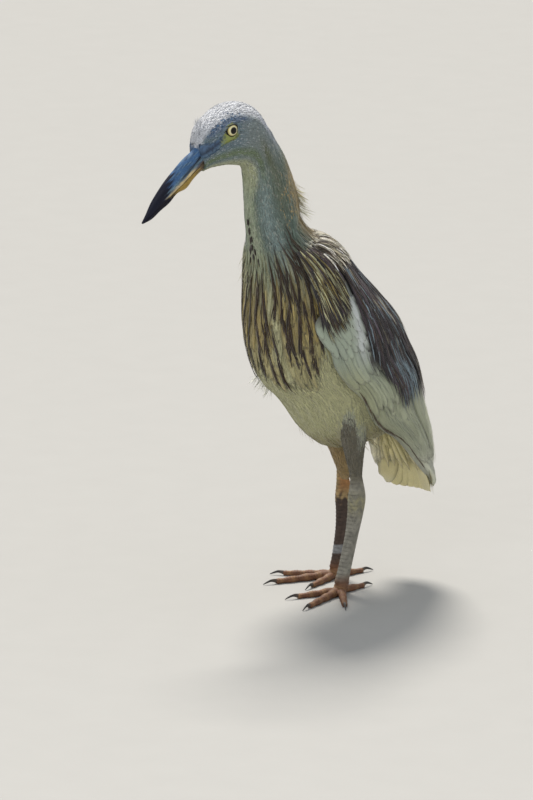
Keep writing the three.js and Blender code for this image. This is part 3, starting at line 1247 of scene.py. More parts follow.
# Downy body plumage: dull, its barbs loose enough to scatter a faint soft sheen.
SOFT_FEATHER = Finish("soft_feather_keratin", sockets=(("Specular IOR Level", 0.25), *SHEEN))
# Flight feathers: the barbs lock into a smoother, slightly glossier vane.
FLIGHT_FEATHER = Finish(
    "flight_feather_keratin", grain=0.7, contrast=0.08, soil=0.06, roughness=0.52, relief=0.15,
    sockets=(("Specular IOR Level", 0.35), *SHEEN),
)
# Bill horn: hard keratin worn to a soft gloss, with faint streaks and pits.
BILL_HORN = Finish(
    "smooth_bill_horn", grain=0.8, contrast=0.2, soil=0.2, roughness=0.48, unevenness=0.1,
    relief=0.14,
    sockets=(("Specular IOR Level", 0.2), ("Coat Weight", 0.06), ("Coat Roughness", 0.2)),
)
# Claw horn: darker and duller than the bill, scratched by the ground.
CLAW_HORN = Finish(
    "dark_claw_horn", grain=0.5, contrast=0.2, roughness=0.42, relief=0.2,
    sockets=(("Coat Weight", 0.2), ("Coat Roughness", 0.3)),
)
# Leg skin: dry small scales between the plates, darker in the seams.
LEG_SKIN = Finish(
    "dry_scaly_leg_skin", grain=0.85, contrast=0.24, soil=0.22, roughness=0.58, relief=0.5,
    cells=True, sockets=(("Specular IOR Level", 0.35),),
)
# Face skin: thin, pebbled and slightly moist.
FACE_SKIN = Finish(
    "bare_face_skin", grain=0.55, contrast=0.2, soil=0.15, roughness=0.5, relief=0.35,
    cells=True, sockets=(("Specular IOR Level", 0.4),),
)
# The eye: a clear wet cornea over a finely rayed iris.
WET_EYE = Finish(
    "wet_cornea_over_iris", grain=0.35, contrast=0.1, soil=0, roughness=0.25, unevenness=0, relief=0,
    sockets=(("Specular IOR Level", 0.1), ("Coat Weight", 0.25), ("Coat Roughness", 0.03)),
)


# ---- the skin ----


@dataclass
class Face:
    """The bare parts of the face: the lore from the bill to the eye, and the ring round it."""

    eye: Span = (-89.8, 317.9)
    eye_out: float = 9.6  # from the middle plane to the eye's centre
    eye_radius: float = 5.4
    lore_end: Span = (-111.0, 301.5)
    eye_reach: float = 4.9  # how far the bare ring reaches round the eye
    lore_reach: float = 3.0
    flare: float = 3.4  # how much further up the bare skin reaches at the bill
    behind: float = 25.7  # millimetres behind the eye for each share of the line

    def along(self, points: Array) -> tuple[Array, Array]:
        """Finds where places lie on the line from the eye to the bill.

        Args:
            points: Places in bird millimetres.

        Returns:
            The share of the way to the bill, and the signed distance above the line.
        """
        line = np.array(self.lore_end) - np.array(self.eye)
        length = np.linalg.norm(line)
        flat = points[:, 1:] - np.array(self.eye)
        above = flat @ np.array([-line[1], line[0]]) / -length
        return flat @ line / length**2, above

    def bareness(self, points: Array) -> Array:
        """How bare the face is, from 0 in the feathers to 1 on bare skin.

        Args:
            points: Places in bird millimetres.

        Returns:
            One share for each place.
        """
        share, above = self.along(points)
        beyond = np.maximum(-share, 0) * self.behind
        away = np.hypot(above, beyond)
        reach = self.eye_reach + (self.lore_reach - self.eye_reach) * ramp(share, 0.1, 0.4)
        reach = reach + self.flare * ramp(share, 0.55, 1.0) * (above > 0)
        return (1 - ramp(away, reach - 0.5, reach + 0.7)) * ramp(np.abs(points[:, 0]), 3.5, 5.5)

    def colours(self, points: Array) -> Array:
        """The bare skin's colours: blue on the lore, yellow-green before the eye.

        Args:
            points: Places in bird millimetres.

        Returns:
            Linear colours.
        """
        share, above = self.along(points)
        y, z = points[:, 1], points[:, 2]
        blotch = np.sin(y * 2.3 + 1.3 * np.sin(z * 1.9)) * np.sin(z * 2.7 + 1.1 * np.sin(y * 1.7))
        line = 0.85 * hump(above, 0.4, 1.5) * ramp(share, 0.2, 0.3)
        lore = mix(Hue.LORE, Hue.LORE_DARK, line)
        lore = mix(lore, Hue.BILL_GREY, 0.5 * hump(above, -2.2, 1.6))
        lore = mix(lore, Hue.LORE_DARK, 0.6 * ramp(blotch, 0.1, 0.6) * (1 - ramp(share, 0.7, 1)))
        near = mix(Hue.ORBIT, lore, ramp(share + 0.03 * above + 0.1 * blotch, 0.24, 0.44))
        near = mix(near, Hue.LORE_DARK, 0.5 * ramp(-above, 2.6, 4.2) * ramp(blotch, -0.4, 0.5))
        return mix(near, Hue.FACE_BLUE, ramp(-share, 0.02, 0.14))


FACE = Face()


@dataclass
class Skin:
    """The one skin under the plumage, made from the solids of flesh."""

    nodes: tuple[str, ...] = ("head", "neck", "trunk", "thigh_left", "thigh_right")
    fill: float = 0.4  # grows each solid so that the gaps between them close
    voxel: float = 1.15
    head_depth: float = 0.9
    neck_depth: float = 1.7
    trunk_depth: float = 2.4
    thigh_depth: float = 1.3
    lid_points: int = 56
    lid_opening: float = 3.75  # half the height between the lids
    lid_width: float = 0.85  # half the width of a lid's rim
    lid_height: float = 0.42  # half the rim's height

    def build(self) -> Piece:
        """Joins, remeshes, shrinks, colours and finishes the skin.

        Returns:
            The skin.
        """
        deselect_all()
        copies = []
        for name in self.nodes:
            copy = add_object("skin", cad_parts[name].data.copy())
            with editing(copy):
                bpy.ops.mesh.remove_doubles(threshold=0.01 * MM)
            apply(copy, "DISPLACE", strength=self.fill * MM, mid_level=0.0)
            copies.append(copy)
        skin = join(copies, "skin")
        remesh(skin, self.voxel, 5)
        self.shrink(skin)
        self.colour(skin)
        for side in Side:
            self.add_lid(skin, side)
        return finish_piece(skin, FACE_SKIN, self.nodes)

    def locate(self, points: Array) -> tuple[Array, Array, Array]:
        """Finds where points lie on the bird's forms.

        Args:
            points: Places in bird millimetres.

        Returns:
            The form's number (0 body, 1 left thigh, 2 right thigh), row numbers and turns.
        """
        samples, labels = [], []
        for number, form in enumerate([BODY, THIGHS[Side.LEFT], THIGHS[Side.RIGHT]]):
            rows = np.linspace(0, form.last, 12 * int(form.last) if number == 0 else 30)
            t, a = np.meshgrid(rows, np.radians(np.arange(-180, 180, 6)), indexing="ij")
            samples.append(form.point(t.ravel(), a.ravel()))
            labels.append(np.stack([np.full(t.size, number), t.ravel(), a.ravel()], -1))
        return tuple(np.vstack(labels)[nearest(points, samples, 1)[0][:, 0]].T)

    def shrink(self, skin: Piece) -> None:
        """Moves the skin inwards by the coat's depth, but not where the face is bare.

        Args:
            skin: The skin.
        """
        points, normals = coordinates(skin), vertices(skin, "normal")
        number, t, _ = self.locate(points)
        depth = self.head_depth + (self.neck_depth - self.head_depth) * ramp(t, 6.5, 9)
        depth = depth + (self.trunk_depth - self.neck_depth) * ramp(t, 12, 14.5)
        depth = np.where(number > 0, self.thigh_depth, depth)
        depth = depth * (1 - FACE.bareness(points)) + self.fill * 0.5
        place(skin, points - normals * depth[:, None])
        apply(skin, "SMOOTH", factor=0.5, iterations=3)

    def colour(self, skin: Piece) -> None:
        """Gives the skin the plumage's markings and the bare face's colours.

        Args:
            skin: The skin.
        """
        points = coordinates(skin)
        number, t, a = self.locate(points)
        colours = Markings.body(t, a)
        turn = turned(a)
        back = (1 - ramp(turn, 70, 90)) * ramp(t, 12.5, 14)
        colours = mix(colours, Hue.CAPE, back)
        for index, side in ((1, Side.LEFT), (2, Side.RIGHT)):
            colours = mix(colours, Markings.thigh(t, side), number == index)
        rim = (1 - ramp(t, 0.05, 0.4)) * ramp(turn, 10, 24) * (1 - ramp(turn, 95, 120))
        colours = mix(colours, Hue.LORE, rim * (number == 0))
        bare = FACE.bareness(points)
        # Under the feathers the skin takes their markings a little darker: painted shade beneath the coat.
        tint(skin, mix(colours * 0.9, FACE.colours(points), ramp(bare, 0.1, 0.45)))

    def add_lid(self, skin: Piece, side: Side) -> None:
        """Adds the lids round one eye: a torus laid on the eyeball and tucked into the skin.

        Args:
            skin: The skin.
            side: The bird's side.
        """
        deselect_all()
        tube = 0.25  # the plain torus's, before it is shaped
        bpy.ops.mesh.primitive_torus_add(
            major_segments=self.lid_points, minor_segments=12, major_radius=1, minor_radius=tube
        )
        lid = bpy.context.object
        ring = vertices(lid)
        round_ = np.arctan2(ring[:, 1], ring[:, 0])
        across = (np.hypot(ring[:, 0], ring[:, 1]) - 1) / tube
        height = ring[:, 2] / tube
        # The opening is a little longer along the head than it is tall, with a front corner.
        corner = 0.35 * np.clip(np.cos(round_), 0, 1) ** 6
        opening = self.lid_opening + 0.28 * np.cos(2 * round_) + corner
        reach = opening + self.lid_width + across * self.lid_width
        ball = np.sqrt(np.clip((FACE.eye_radius + 0.12) ** 2 - reach**2, 0.5, None))
        out = ball + 0.12 + height * self.lid_height - 0.3 * np.clip(across, 0, 1)
        x = side.value * (FACE.eye_out + out)
        y = FACE.eye[0] - reach * np.cos(round_)
        z = FACE.eye[1] + reach * np.sin(round_) - 0.1 * reach * np.cos(round_)
        place(lid, np.stack([x, y, z], -1))
        inner = 1 - ramp(across, -0.35, 0.45)
        front = ramp(np.cos(round_), -0.45, 0.1)
        tint(lid, mix(mix(Hue.FACE_BLUE, Hue.ORBIT, front), Hue.LID, inner))
        face_outwards(lid)
        join([skin, lid], "skin")


# ---- bare parts ----


def laid_sphere(
    name: str, form: Form, segments: int, rings: int
) -> tuple[Piece, Array, Array]:
    """Adds a sphere and lays its rows of latitude along a form.

    Args:
        name: The piece's name.
        form: The form.
        segments: Points round it.
        rings: Rows along it.

    Returns:
        The piece, and each vertex's row number and turn.
    """
    piece = add_ball(name, segments, rings)
    ball = vertices(piece)
    t = np.arccos(np.clip(ball[:, 2], -1, 1)) / np.pi * form.last
    a = np.arctan2(ball[:, 1], ball[:, 0])
    on_axis = np.hypot(ball[:, 0], ball[:, 1]) < 1e-6
    points = form.point(t, a)
    middle = (form.point(t, a * 0) + form.point(t, a * 0 + np.pi)) / 2
    place(piece, np.where(on_axis[:, None], middle, points))
    face_outwards(piece)
    return piece, t, a


@dataclass
class Eye:
    """One eye: a wet ball with a black pupil and a pale yellow iris."""

    side: Side
    pupil: float = 2.35  # radii, seen from the side
    iris: float = 3.75
    lift: float = 0.25  # how far the cornea bulges over the ball

    def build(self) -> Piece:
        """Builds the eye.

        Returns:
            The eye.
        """
        piece = add_ball(f"eyeball_{self.side.word}", 64, 48)
        ball = vertices(piece)[:, [2, 0, 1]]  # its pole turned outwards
        away = np.hypot(ball[:, 1], ball[:, 2]) * FACE.eye_radius
        outer = ball[:, 0] > 0
        bulge = self.lift * (1 - ramp(away, 0.5, self.iris + 0.5)) * outer
        radius = FACE.eye_radius - 0.05 + bulge
        x = self.side.value * (FACE.eye_out + ball[:, 0] * radius)
        y = FACE.eye[0] + ball[:, 1] * radius
        z = FACE.eye[1] + ball[:, 2] * radius
        place(piece, np.stack([x, y, z], -1))
        face_outwards(piece)
        iris = mix(Hue.IRIS, Hue.IRIS_EDGE, ramp(away, 2.7, 3.6))
        colours = mix(Hue.LID, iris, ramp(away, self.pupil - 0.1, self.pupil + 0.1))
        colours = mix(colours, Hue.LID, ramp(away, self.iris - 0.1, self.iris + 0.15))
        tint(piece, mix(Hue.LID, colours, outer))
        return finish_piece(piece, WET_EYE, [f"eye_{self.side.word}"])


@dataclass
class Bill:
    """The dagger bill, split along the mouth line."""

    tip: Span = (-151.0, 261.7)  # the mouth line's ends, y and z
    gape: Span = (-94.0, 308.4)
    gap: float = 0.15  # half the gap between the two halves
    ridge: float = 0.16  # how much narrower it is along its upper and lower edge
    groove: float = 0.45  # depth of the groove from the nostril forwards
    groove_rise: float = 3.2  # the groove's height over the mouth line
    nostril: Span = (56.0, 4.5)  # its middle, from the tip, and its reach
    nostril_depth: float = 0.7
    bevel: float = 0.12  # along the mouth line

    def build(self) -> list[Piece]:
        """Builds both halves.

        Returns:
            The upper and the lower half.
        """
        start, end = np.array(self.tip), np.array(self.gape)
        along = (end - start) / np.linalg.norm(end - start)
        up = np.array([-along[1], along[0]])  # across the mouth line, in y and z
        up = up * np.sign(up[1])
        halves = []
        for name, sign in (("upper", 1), ("lower", -1)):
            piece, _, a = laid_sphere(f"bill_{name}_half", BILL, 72, 96)
            points = coordinates(piece)
            run = (points[:, 1:] - start) @ along  # millimetres from the tip
            height = (points[:, 1:] - start) @ up
            # The culmen is a blunt ridge and the sides are flat.
            points[:, 0] *= 1 - self.ridge * np.cos(a) ** 4
            line = self.groove_rise + (run - 44) * 0.05
            groove = hump(height, line, 1.2) * ramp(run, 30, 42) * (1 - ramp(run, 66, 72))
            nostril = hump(height, line, 0.9) * hump(run, *self.nostril)
            if sign > 0:
                points[:, 0] *= 1 - (self.groove * groove + self.nostril_depth * nostril) / 6
            place(piece, points)
            tint(piece, self.colours(run, height, groove, nostril, sign))
            cut = tuple(in_row([0, *(start + up * self.gap * sign)]))
            facing = (0, *(up * sign).tolist())
            with editing(piece):
                bpy.ops.mesh.bisect(plane_co=cut, plane_no=facing, clear_inner=True, use_fill=True)
            face_outwards(piece, False)
            sharp = {"limit_method": "ANGLE", "angle_limit": math.radians(50)}
            apply(piece, "BEVEL", width=self.bevel * MM, segments=2, **sharp)
            select_only(piece)
            bpy.ops.object.shade_smooth_by_angle(angle=math.radians(45))
            halves.append(finish_piece(piece, BILL_HORN, [f"bill_{name}"]))
        return halves

    @staticmethod
    def colours(run: Array, height: Array, groove: Array, nostril: Array, sign: int) -> Array:
        """The horn's colours.

        Args:
            run: Millimetres from the tip along the mouth line.
            height: Millimetres over the mouth line.
            groove: How deep in the groove each point is, from 0 to 1.
            nostril: How deep in the nostril.
            sign: 1 for the upper half and -1 for the lower.

        Returns:
            One colour for each point.
        """
        streak = 2.6 * np.sin(height * 2.9 + run * 0.14) + 1.6 * np.sin(height * 7.3 - run * 0.2)
        lines = np.sin(height * 5.6 + 1.5 * np.sin(run * 0.21)) * np.sin(run * 0.33 + height * 1.1)
        if sign > 0:
            colours = mix(Hue.BILL_BLUE, Hue.BILL_GREY, hump(height, 2.9, 1.7))
            colours = mix(colours, Hue.BILL_GREY, 0.6 * ramp(lines, 0.25, 0.9))
            colours = mix(colours, Hue.BILL_BLACK, 0.45 * ramp(-lines, 0.3, 0.9))
            colours = mix(colours, Hue.BILL_BLACK, 0.9 * groove)
            colours = mix(colours, Hue.BILL_BLACK, nostril)
            # Along the mouth line the upper half turns cream: partly its own tan edge, partly a painted
            # highlight.
            cream = (1 - ramp(height + 0.12 * streak, 1.2, 2.3)) * (1 - ramp(run, 46, 54))
            colours = mix(colours, Hue.BILL_CREAM, 0.9 * cream)
            colours = mix(colours, Hue.BILL_BROWN, (1 - ramp(height, 1.0, 2.2)) * ramp(run, 48, 55))
            black = 1 - ramp(run + streak - 1.6 * (height - 2), 22, 28)
        else:
            # The lower half's underside edge is lightened: a painted highlight.
            colours = mix(Hue.BILL_TAN, Hue.BILL_CREAM, 0.2 * ramp(-height, 2.6, 4.2))
            colours = mix(colours, Hue.BILL_BROWN, ramp(run + streak, 47, 55))
            black = 1 - ramp(run + streak, 27, 33)
        mottle = ramp(lines, 0.1, 0.5) * ramp(run, 47, 55) * (1 - ramp(height, 1.5, 2.5))
        colours = mix(colours, Hue.BILL_BLACK, 0.55 * mottle)
        colours = mix(colours, Hue.BILL_BLACK, black)
        return mix(colours, Hue.MOUTH, hump(height, 0, 0.32) * ramp(run, 8, 20))


@dataclass(frozen=True)
class Toe:
    """One toe's size and lie."""

    name: str
    length: float
    radius: float  # at its root
    angle: float  # outwards from straight ahead, in degrees
    joints: int


@dataclass
class Leg:
    """One bare leg: the lower tibia, ankle, tarsus and toes as one scaly skin, and its claws."""

    side: Side
    voxel: float = 0.5
    narrow: float = 0.66
    scute: float = 2.6  # pitch of the plates down the front of the tarsus
    toe_scute: float = 1.9
    scute_rise: float = 0.34  # of a plate's lower edge
    grain_rise: float = 0.12  # of the small scales between the plates
    claw_length: float = 9.0
    claw_radius: float = 1.6
    heel_radius: float = 4.8
    toes: tuple[Toe, ...] = (
        Toe("middle", 44, 3, 6, 4),
        Toe("inner", 32, 2.8, -30, 3),
        Toe("outer", 36, 2.8, 38, 4),
        Toe("hind", 22, 2.7, 172, 2),
    )

    def __post_init__(self) -> None:
        """Works out the leg's forms."""
        plan = LEGS[self.side]
        calf = tuple(g + 0.22 * (k - g) for g, k in zip(plan.garter, plan.knee))
        self.shank = Limb([calf, plan.ankle, plan.foot], SHANK_RADII, self.narrow)
        self.toe_forms: list[tuple[str, Limb]] = []
        self.claw_forms: list[tuple[str, Limb]] = []
        root, shares = np.array([*plan.foot[:2], 0]), np.linspace(0, 1, 17)
        for toe in self.toes:
            turn = math.radians(toe.angle + plan.turn)
            ahead = np.array([self.side.value * math.sin(turn), -math.cos(turn), 0])
            taper = 1 - 0.4 * shares
            line = root + ahead * (toe.length * shares)[:, None]
            line[:, 2] = toe.radius * taper * 0.9
            radii = toe.radius * taper * (1 + 0.12 * np.cos(2 * np.pi * toe.joints * shares))
            self.toe_forms.append((toe.name, Limb(line, radii, 1.05)))
            reach = np.array([-1.5, 0.35 * self.claw_length, self.claw_length])
            bend = root + ahead * (toe.length + reach)[:, None]
            bend[:, 2] = 1.8, 2.6, 0.5
            radii = self.claw_radius * (1.02 - 0.88 * np.linspace(0, 1, 5))
            self.claw_forms.append((toe.name, Limb(bend, radii, 0.75)))

    def build(self) -> list[Piece]:
        """Builds the leg and its claws.

        Returns:
            The leg's skin and the claws.
        """
        word = self.side.word
        parts = [laid_sphere("part", self.shank, 32, 72)[0]]
        parts += [laid_sphere("part", form, 20, 48)[0] for _, form in self.toe_forms]
        heel = add_ball("part", 24, 16)
        place(heel, vertices(heel) * self.heel_radius + (*LEGS[self.side].foot[:2], 4.2))
        parts.append(heel)
        leg = join(parts, f"leg_skin_{word}")
        remesh(leg, self.voxel, 4)
        self.carve(leg)
        nodes = [f"shank_{word}", f"foot_{word}"]
        pieces = [finish_piece(leg, LEG_SKIN, nodes)]
        for name, form in self.claw_forms:
            claw, t, _ = laid_sphere(f"claw_horn_{word}_{name}", form, 20, 24)
            tint(claw, mix(Hue.CLAW, Hue.CLAW_TIP, ramp(t / form.last, 0.1, 0.6)))
            pieces.append(finish_piece(claw, CLAW_HORN, [f"claw_{word}_{name}"]))
        return pieces

    def carve(self, leg: Piece) -> None:
        """Raises the scutes, flattens the soles and colours the leg.

        Args:
            leg: The leg.
        """
        points, normals = coordinates(leg), vertices(leg, "normal")
        samples, labels = [], []
        forms = [("shank", self.shank), *self.toe_forms]
        for number, (_, form) in enumerate(forms):
            rows = np.linspace(0, form.last, 120)
            t, a = np.meshgrid(rows, np.radians(np.arange(0, 360, 20)), indexing="ij")
            middle = form.point(rows, rows * 0) / 2 + form.point(rows, rows * 0 + np.pi) / 2
            steps = np.linalg.norm(np.diff(middle, axis=0), axis=1)
            length = np.concatenate([[0], np.cumsum(steps)])
            samples.append(form.point(t.ravel(), a.ravel()))
            labels.append(np.stack([np.full(t.size, number), np.repeat(length, t.shape[1])], -1))
        near, away = nearest(points, samples, 3)
        number, runs = np.moveaxis(np.vstack(labels)[near], -1, 0)
        weights = 1 / (away + 0.05)
        run = (weights * runs).sum(1) / weights.sum(1)
        on_toe = number[:, 0] > 0
        pitch = np.where(on_toe, self.toe_scute, self.scute)
        # Each plate is thickest at its lower edge, where it laps the next.
        step = run / pitch
        plate = np.mod(step, 1.0)
        saw = plate**2 * (1 - ramp(plate, 0.86, 1.0))
        front = np.where(on_toe, ramp(normals[:, 2], 0.0, 0.5), ramp(-normals[:, 1], -0.1, 0.5))
        height = self.scute_rise * saw * front * np.where(on_toe, 0.8, 1.0)
        cells = np.sin(points[:, 0] * 4.1) * np.sin(points[:, 1] * 3.7) * np.sin(points[:, 2] * 3.3)
        height += self.grain_rise * cells * (1 - front)
        moved = points + normals * height[:, None]
        moved[:, 2] = np.maximum(moved[:, 2], 0.02)
        place(leg, moved)
        tint(leg, self.colours(points, run, plate, front, on_toe))

    def colours(self, points: Array, run: Array, plate: Array, front: Array, on_toe: Array) -> Array:
        """The leg's colours from the garter down to the toes.

        Args:
            points: Places in bird millimetres.
            run: Millimetres along the shank or toe.
            plate: How far down its plate each point is, from 0 to 1.
            front: How much each point faces the plates.
            on_toe: Whether each point is on a toe.

        Returns:
            Linear colours.
        """
        z = points[:, 2]
        plan = LEGS[self.side]
        ankle = hump(z, plan.ankle[2] + 2, 12)
        blotch = np.sin(z * 0.83 + 1.7 * np.sin(points[:, 1] * 0.9)) * np.sin(z * 0.37 + points[:, 0] * 1.3)
        if self.side is Side.LEFT:
            colours = mix(Hue.SHANK, Hue.SHANK_OLIVE, ankle * (0.6 + 0.4 * blotch))
            # Near the garter the near shank takes the thigh's painted shade.
            colours = mix(colours, Hue.THIGH, ramp(z, 68, 80))
        else:
            # The far shank below the ankle is painted shade.
            colours = mix(Hue.SHANK_DUSK, Hue.THIGH_FAR, ramp(z + 4 * blotch, 52, 60))
            rust = ramp(z, 56, 64) * ramp(points[:, 0] - plan.ankle[0], -0.5, 2.5)
            colours = mix(colours, Hue.SHANK_RUST, 0.85 * rust)
            band = ramp(z, 16.5, 17.8) * (1 - ramp(z, 22.2, 23.5))
            colours = mix(colours, Hue.SHANK_BAND, 0.8 * band)
        colours = colours * (1 + 0.16 * blotch)[:, None]
        toes = mix(Hue.TOE, Hue.TOE_PALE, 0.5 * hump(np.mod(run, 9.0), 4.5, 3))
        colours = mix(colours, toes, np.where(on_toe, 1.0, 1 - ramp(z, 6, 15)))
        groove = 1 - 0.45 * front * (ramp(plate, 0.84, 0.98) + 1 - ramp(plate, 0.0, 0.1))
        return colours * groove[:, None]


# ---- coats ----


@dataclass(frozen=True)
class Tract:
    """One tract of body feathers: where they grow, how many there are and their sizes."""

    seed: int
    count: int
    t: Span
    a: Span  # in degrees
    length: Span  # in millimetres, or shares of the length that the tract's method works out
    width: Span
    high: Span  # the tips' height over the skin
    low: float = -0.2  # the roots'
    swirl: float = 0.1
    curl: float = 0.08

    def lay(self, count: int, rng: Random) -> Lay:
        """Draws how that many of its feathers lie."""
        return Lay.of(count, rng, self.length, self.width, self.high, self.low, self.swirl, self.curl)


@dataclass
class BodyCoat:
    """The plumage of the head, neck, breast and belly."""

    skin: Ground
    on_head: Tract = Tract(
        11, 16500, (0.05, 8.4), (-180, 180), (0.8, 1.2), (0.6, 1.05), (0.6, 0.85), -0.15
    )
    on_neck: Tract = Tract(12, 16500, (7.2, 14.4), (-180, 180), (7.5, 12), (0.5, 0.95), (1.1, 1.45))
    on_nape: Tract = Tract(
        16, 1500, (11.8, 13.7), (-84, 84), (10, 16), (1.0, 1.9), (1.5, 2.3), 0.2, 0.08
    )
    spotted: Tract = Tract(13, 16, (10, 15), (0, 360), (4, 5.5), (1.5, 2.1), (1.8, 2.0), 1.5, 0.05, 0.05)
    on_belly: Tract = Tract(
        14, 7000, (16.6, 21.9), (78, 282), (11, 17), (1.8, 3.0), (1.3, 1.45), 1.0, 0.06
    )
    belly_strands: Tract = Tract(
        14, 7000, (16.6, 21.9), (78, 282), (10, 18), (0.3, 0.6), (1.4, 1.55), 1.0, 0.06
    )
    down: Tract = Tract(15, 3600, (12.9, 18.2), (74, 286), (9, 14), (1.2, 2.0), (1.3, 1.8))
    on_breast: Tract = Tract(
        21, 620, (12.7, 18.2), (78, 282), (0.85, 1.2), (0.85, 1.2), (1.9, 2.6), 0.1, 0.05, 0.07
    )

    def begin(
        self, tract: Tract, weight: Optional[Density] = None
    ) -> tuple[Random, Coat, Array, Array]:
        """Sets out the roots of one tract.

        Args:
            tract: The tract.
            weight: How dense its roots are.

        Returns:
            Its random source, its coat, and its roots' row numbers and turns.
        """
        rng = np.random.default_rng(tract.seed)
        coat = Coat(BODY, tract.t, tract.a, self.skin)
        return rng, coat, *coat.roots(tract.count, rng, weight)

    def head(self) -> Piece:
        """The short dense feathers of the head, smallest at the bill.

        Returns:
            The piece.
        """
        rng, coat, t, a = self.begin(self.on_head, lambda t, a: 1.6 - 0.9 * ramp(t, 1, 7))
        points = BODY.point(t, a)
        bare = FACE.bareness(points)
        held = bare < 0.62 + 0.2 * rng.random(len(t))
        t, a, points, bare = t[held], a[held], points[held], bare[held]
        lay = self.on_head.lay(len(t), rng)
        lay.length *= 2.6 + 2.2 * ramp(t, 0.5, 4)
        lay.length *= 1 - 0.45 * bare
        lay.width *= 1 - 0.4 * bare
        lay.high *= 1 - 0.5 * bare
        colours = mix(Markings.body(t, a), FACE.colours(points), ramp(bare, 0.05, 0.4))
        colours = shaded(colours, rng, 0.08)
        turn = turned(a)
        crown = 1 - ramp(turn, 42, 60)
        streak = rng.random(len(t)) < 0.22 * crown * ramp(t, 0.4, 1.2)
        lay.width[streak] *= 0.6
        colours = mix(colours, shades(Hue.CROWN_STREAK, len(t), rng, 0.15), streak)
        brow = rng.random(len(t)) < 0.55 * hump(turn, 53, 12) * ramp(t, 1.4, 2.2) * (1 - ramp(t, 4, 5))
        colours = mix(colours, shades(Hue.LORE, len(t), rng, 0.3), brow)
        white = rng.random(len(t)) < 0.1 * (1 - crown) * (1 - bare)
        colours = mix(colours, Hue.CROWN, 0.4 * white)
        roll = rng.normal(0, 0.12, len(t))
        return coat.piece("head_feathers", "coat", t, a, lay, TUFT, colours, roll)

    def neck(self) -> Piece:
        """The longer, finer feathers of the neck.

        Returns:
            The piece.
        """

        def weight(t: Array, a: Array) -> Array:
            """Dense, but gone where the mantle and the breast lie over it."""
            turn = turned(a)
            return (1.2 - 0.4 * ramp(t, 9, 13)) * (1 - ramp(t - 12.4 - 1.6 * ramp(turn, 70, 150), 0, 0.4))

        rng, coat, t, a = self.begin(self.on_neck, weight)
        lay = self.on_neck.lay(len(t), rng)
        colours = shaded(Markings.body(t, a), rng, 0.09)
        turn = turned(a)
        light = rng.random(len(t)) < 0.12
        colours = mix(colours, Hue.MANTLE_PALE, 0.22 * light)
        warm = rng.random(len(t)) < 0.3 * (1 - ramp(turn, 60, 110)) * ramp(t, 8.5, 10.5)
        colours = mix(colours, shades(Hue.HINDNECK, len(t), rng, 0.2), warm)
        return coat.piece("neck_feathers", "coat", t, a, lay, TUFT, colours)

    def nape(self) -> Piece:
        """The longer feathers at the foot of the hindneck, over the mantle's front.

        Returns:
            The piece.
        """
        rng, coat, t, a = self.begin(self.on_nape)
        t, a = lowest_first(t, a)
        lay = self.on_nape.lay(len(t), rng)
        tones = ((Hue.MANTLE_PALE, 0.35), (Hue.CAPE_PALE, 0.3), (Hue.CAPE_BROWN, 0.35))
        streaked = blend_of(tones, len(t), rng)
        colours = mix(Markings.body(np.minimum(t, 12.2), a), streaked, ramp(t, 12.3, 13.2))
        return coat.piece("neck_feathers", "nape", t, a, lay, BARB, shaded(colours, rng, 0.15))

    def spots(self) -> Piece:
        """The dark spots of the foreneck, each a drop at a feather's tip.

        Returns:
            The piece.
        """
        rng = np.random.default_rng(self.spotted.seed)
        rows = ((178, 10.6), (181, 11.3), (177, 11.95), (182, 12.5))
        rows += ((174, 12.7), (179, 13.1), (171, 13.3), (176, 13.7))
        turn = np.array([sign * row[0] % 360 for row in rows for sign in (1, -1)], float)
        t = np.repeat([row[1] for row in rows], 2) + rng.uniform(-0.05, 0.05, 2 * len(rows))
        lay = self.spotted.lay(len(t), rng)
        coat = Coat(BODY, self.spotted.t, self.spotted.a, self.skin)
        colours = shades(Hue.SPOT, len(t), rng, 0.15)
        return coat.piece("neck_feathers", "spots", t, np.radians(turn), lay, LOCK, colours)

    def belly(self) -> list[Piece]:
        """The smooth pale feathers of the belly and flanks, and the finer barbs over them.

        Returns:
            The feathers and the barbs.
        """
        rng = np.random.default_rng(self.on_belly.seed)
        coat = Coat(BODY, self.on_belly.t, self.on_belly.a, self.skin)

        def bare(t: Array, a: Array) -> Array:
            """Dense where no bib lies over it."""
            return 1.02 - Markings.bib(t, a)

        pieces = []
        for name, tract, spread in (
            ("belly", self.on_belly, 0.02),
            ("belly_barbs", self.belly_strands, 0.035),
        ):
            t, a = coat.roots(tract.count, rng, bare)
            lay = tract.lay(len(t), rng)
            colours = shaded(Markings.body(np.maximum(t, 18.7), a), rng, spread)
            low = rng.random(len(t)) < 0.16 * hump(t, 20.7, 1.0) * (name != "belly")
            colours = mix(colours, Hue.WING_EDGE, low)
            pieces.append(coat.piece("body_feathers", name, t, a, lay, BARB, colours))
        return pieces

    def under(self) -> Piece:
        """The down under the breast, which the long plumes lie on.

        Returns:
            The piece.
        """
        rng, coat, t, a = self.begin(self.down, lambda t, a: 0.02 + Markings.bib(t, a))
        lay = self.down.lay(len(t), rng)
        dark = rng.random(len(t)) < 0.35 * ramp(t, 12.8, 14.2)
        colours = mix(Markings.body(t, a), Hue.PLUME_OLIVE, dark)
        colours = mix(colours, Hue.BELLY, 0.9 * ramp(t, 15.8, 17.2))
        return coat.piece("body_feathers", "under", t, a, lay, LOCK, shaded(colours, rng, 0.16))

    def breast(self) -> list[Piece]:
        """The buff plumes that hang from the lower neck over the breast, under dark streaks.

        Returns:
            The vanes, the barbs and the streaks.
        """

        def weight(t: Array, a: Array) -> Array:
            """On the bib only, and not so low that the tips hang past its end."""
            return Markings.bib(t + 0.9, a) * Markings.bib(t, a) * (1.5 - 0.6 * ramp(t, 13, 16)) + 1e-4

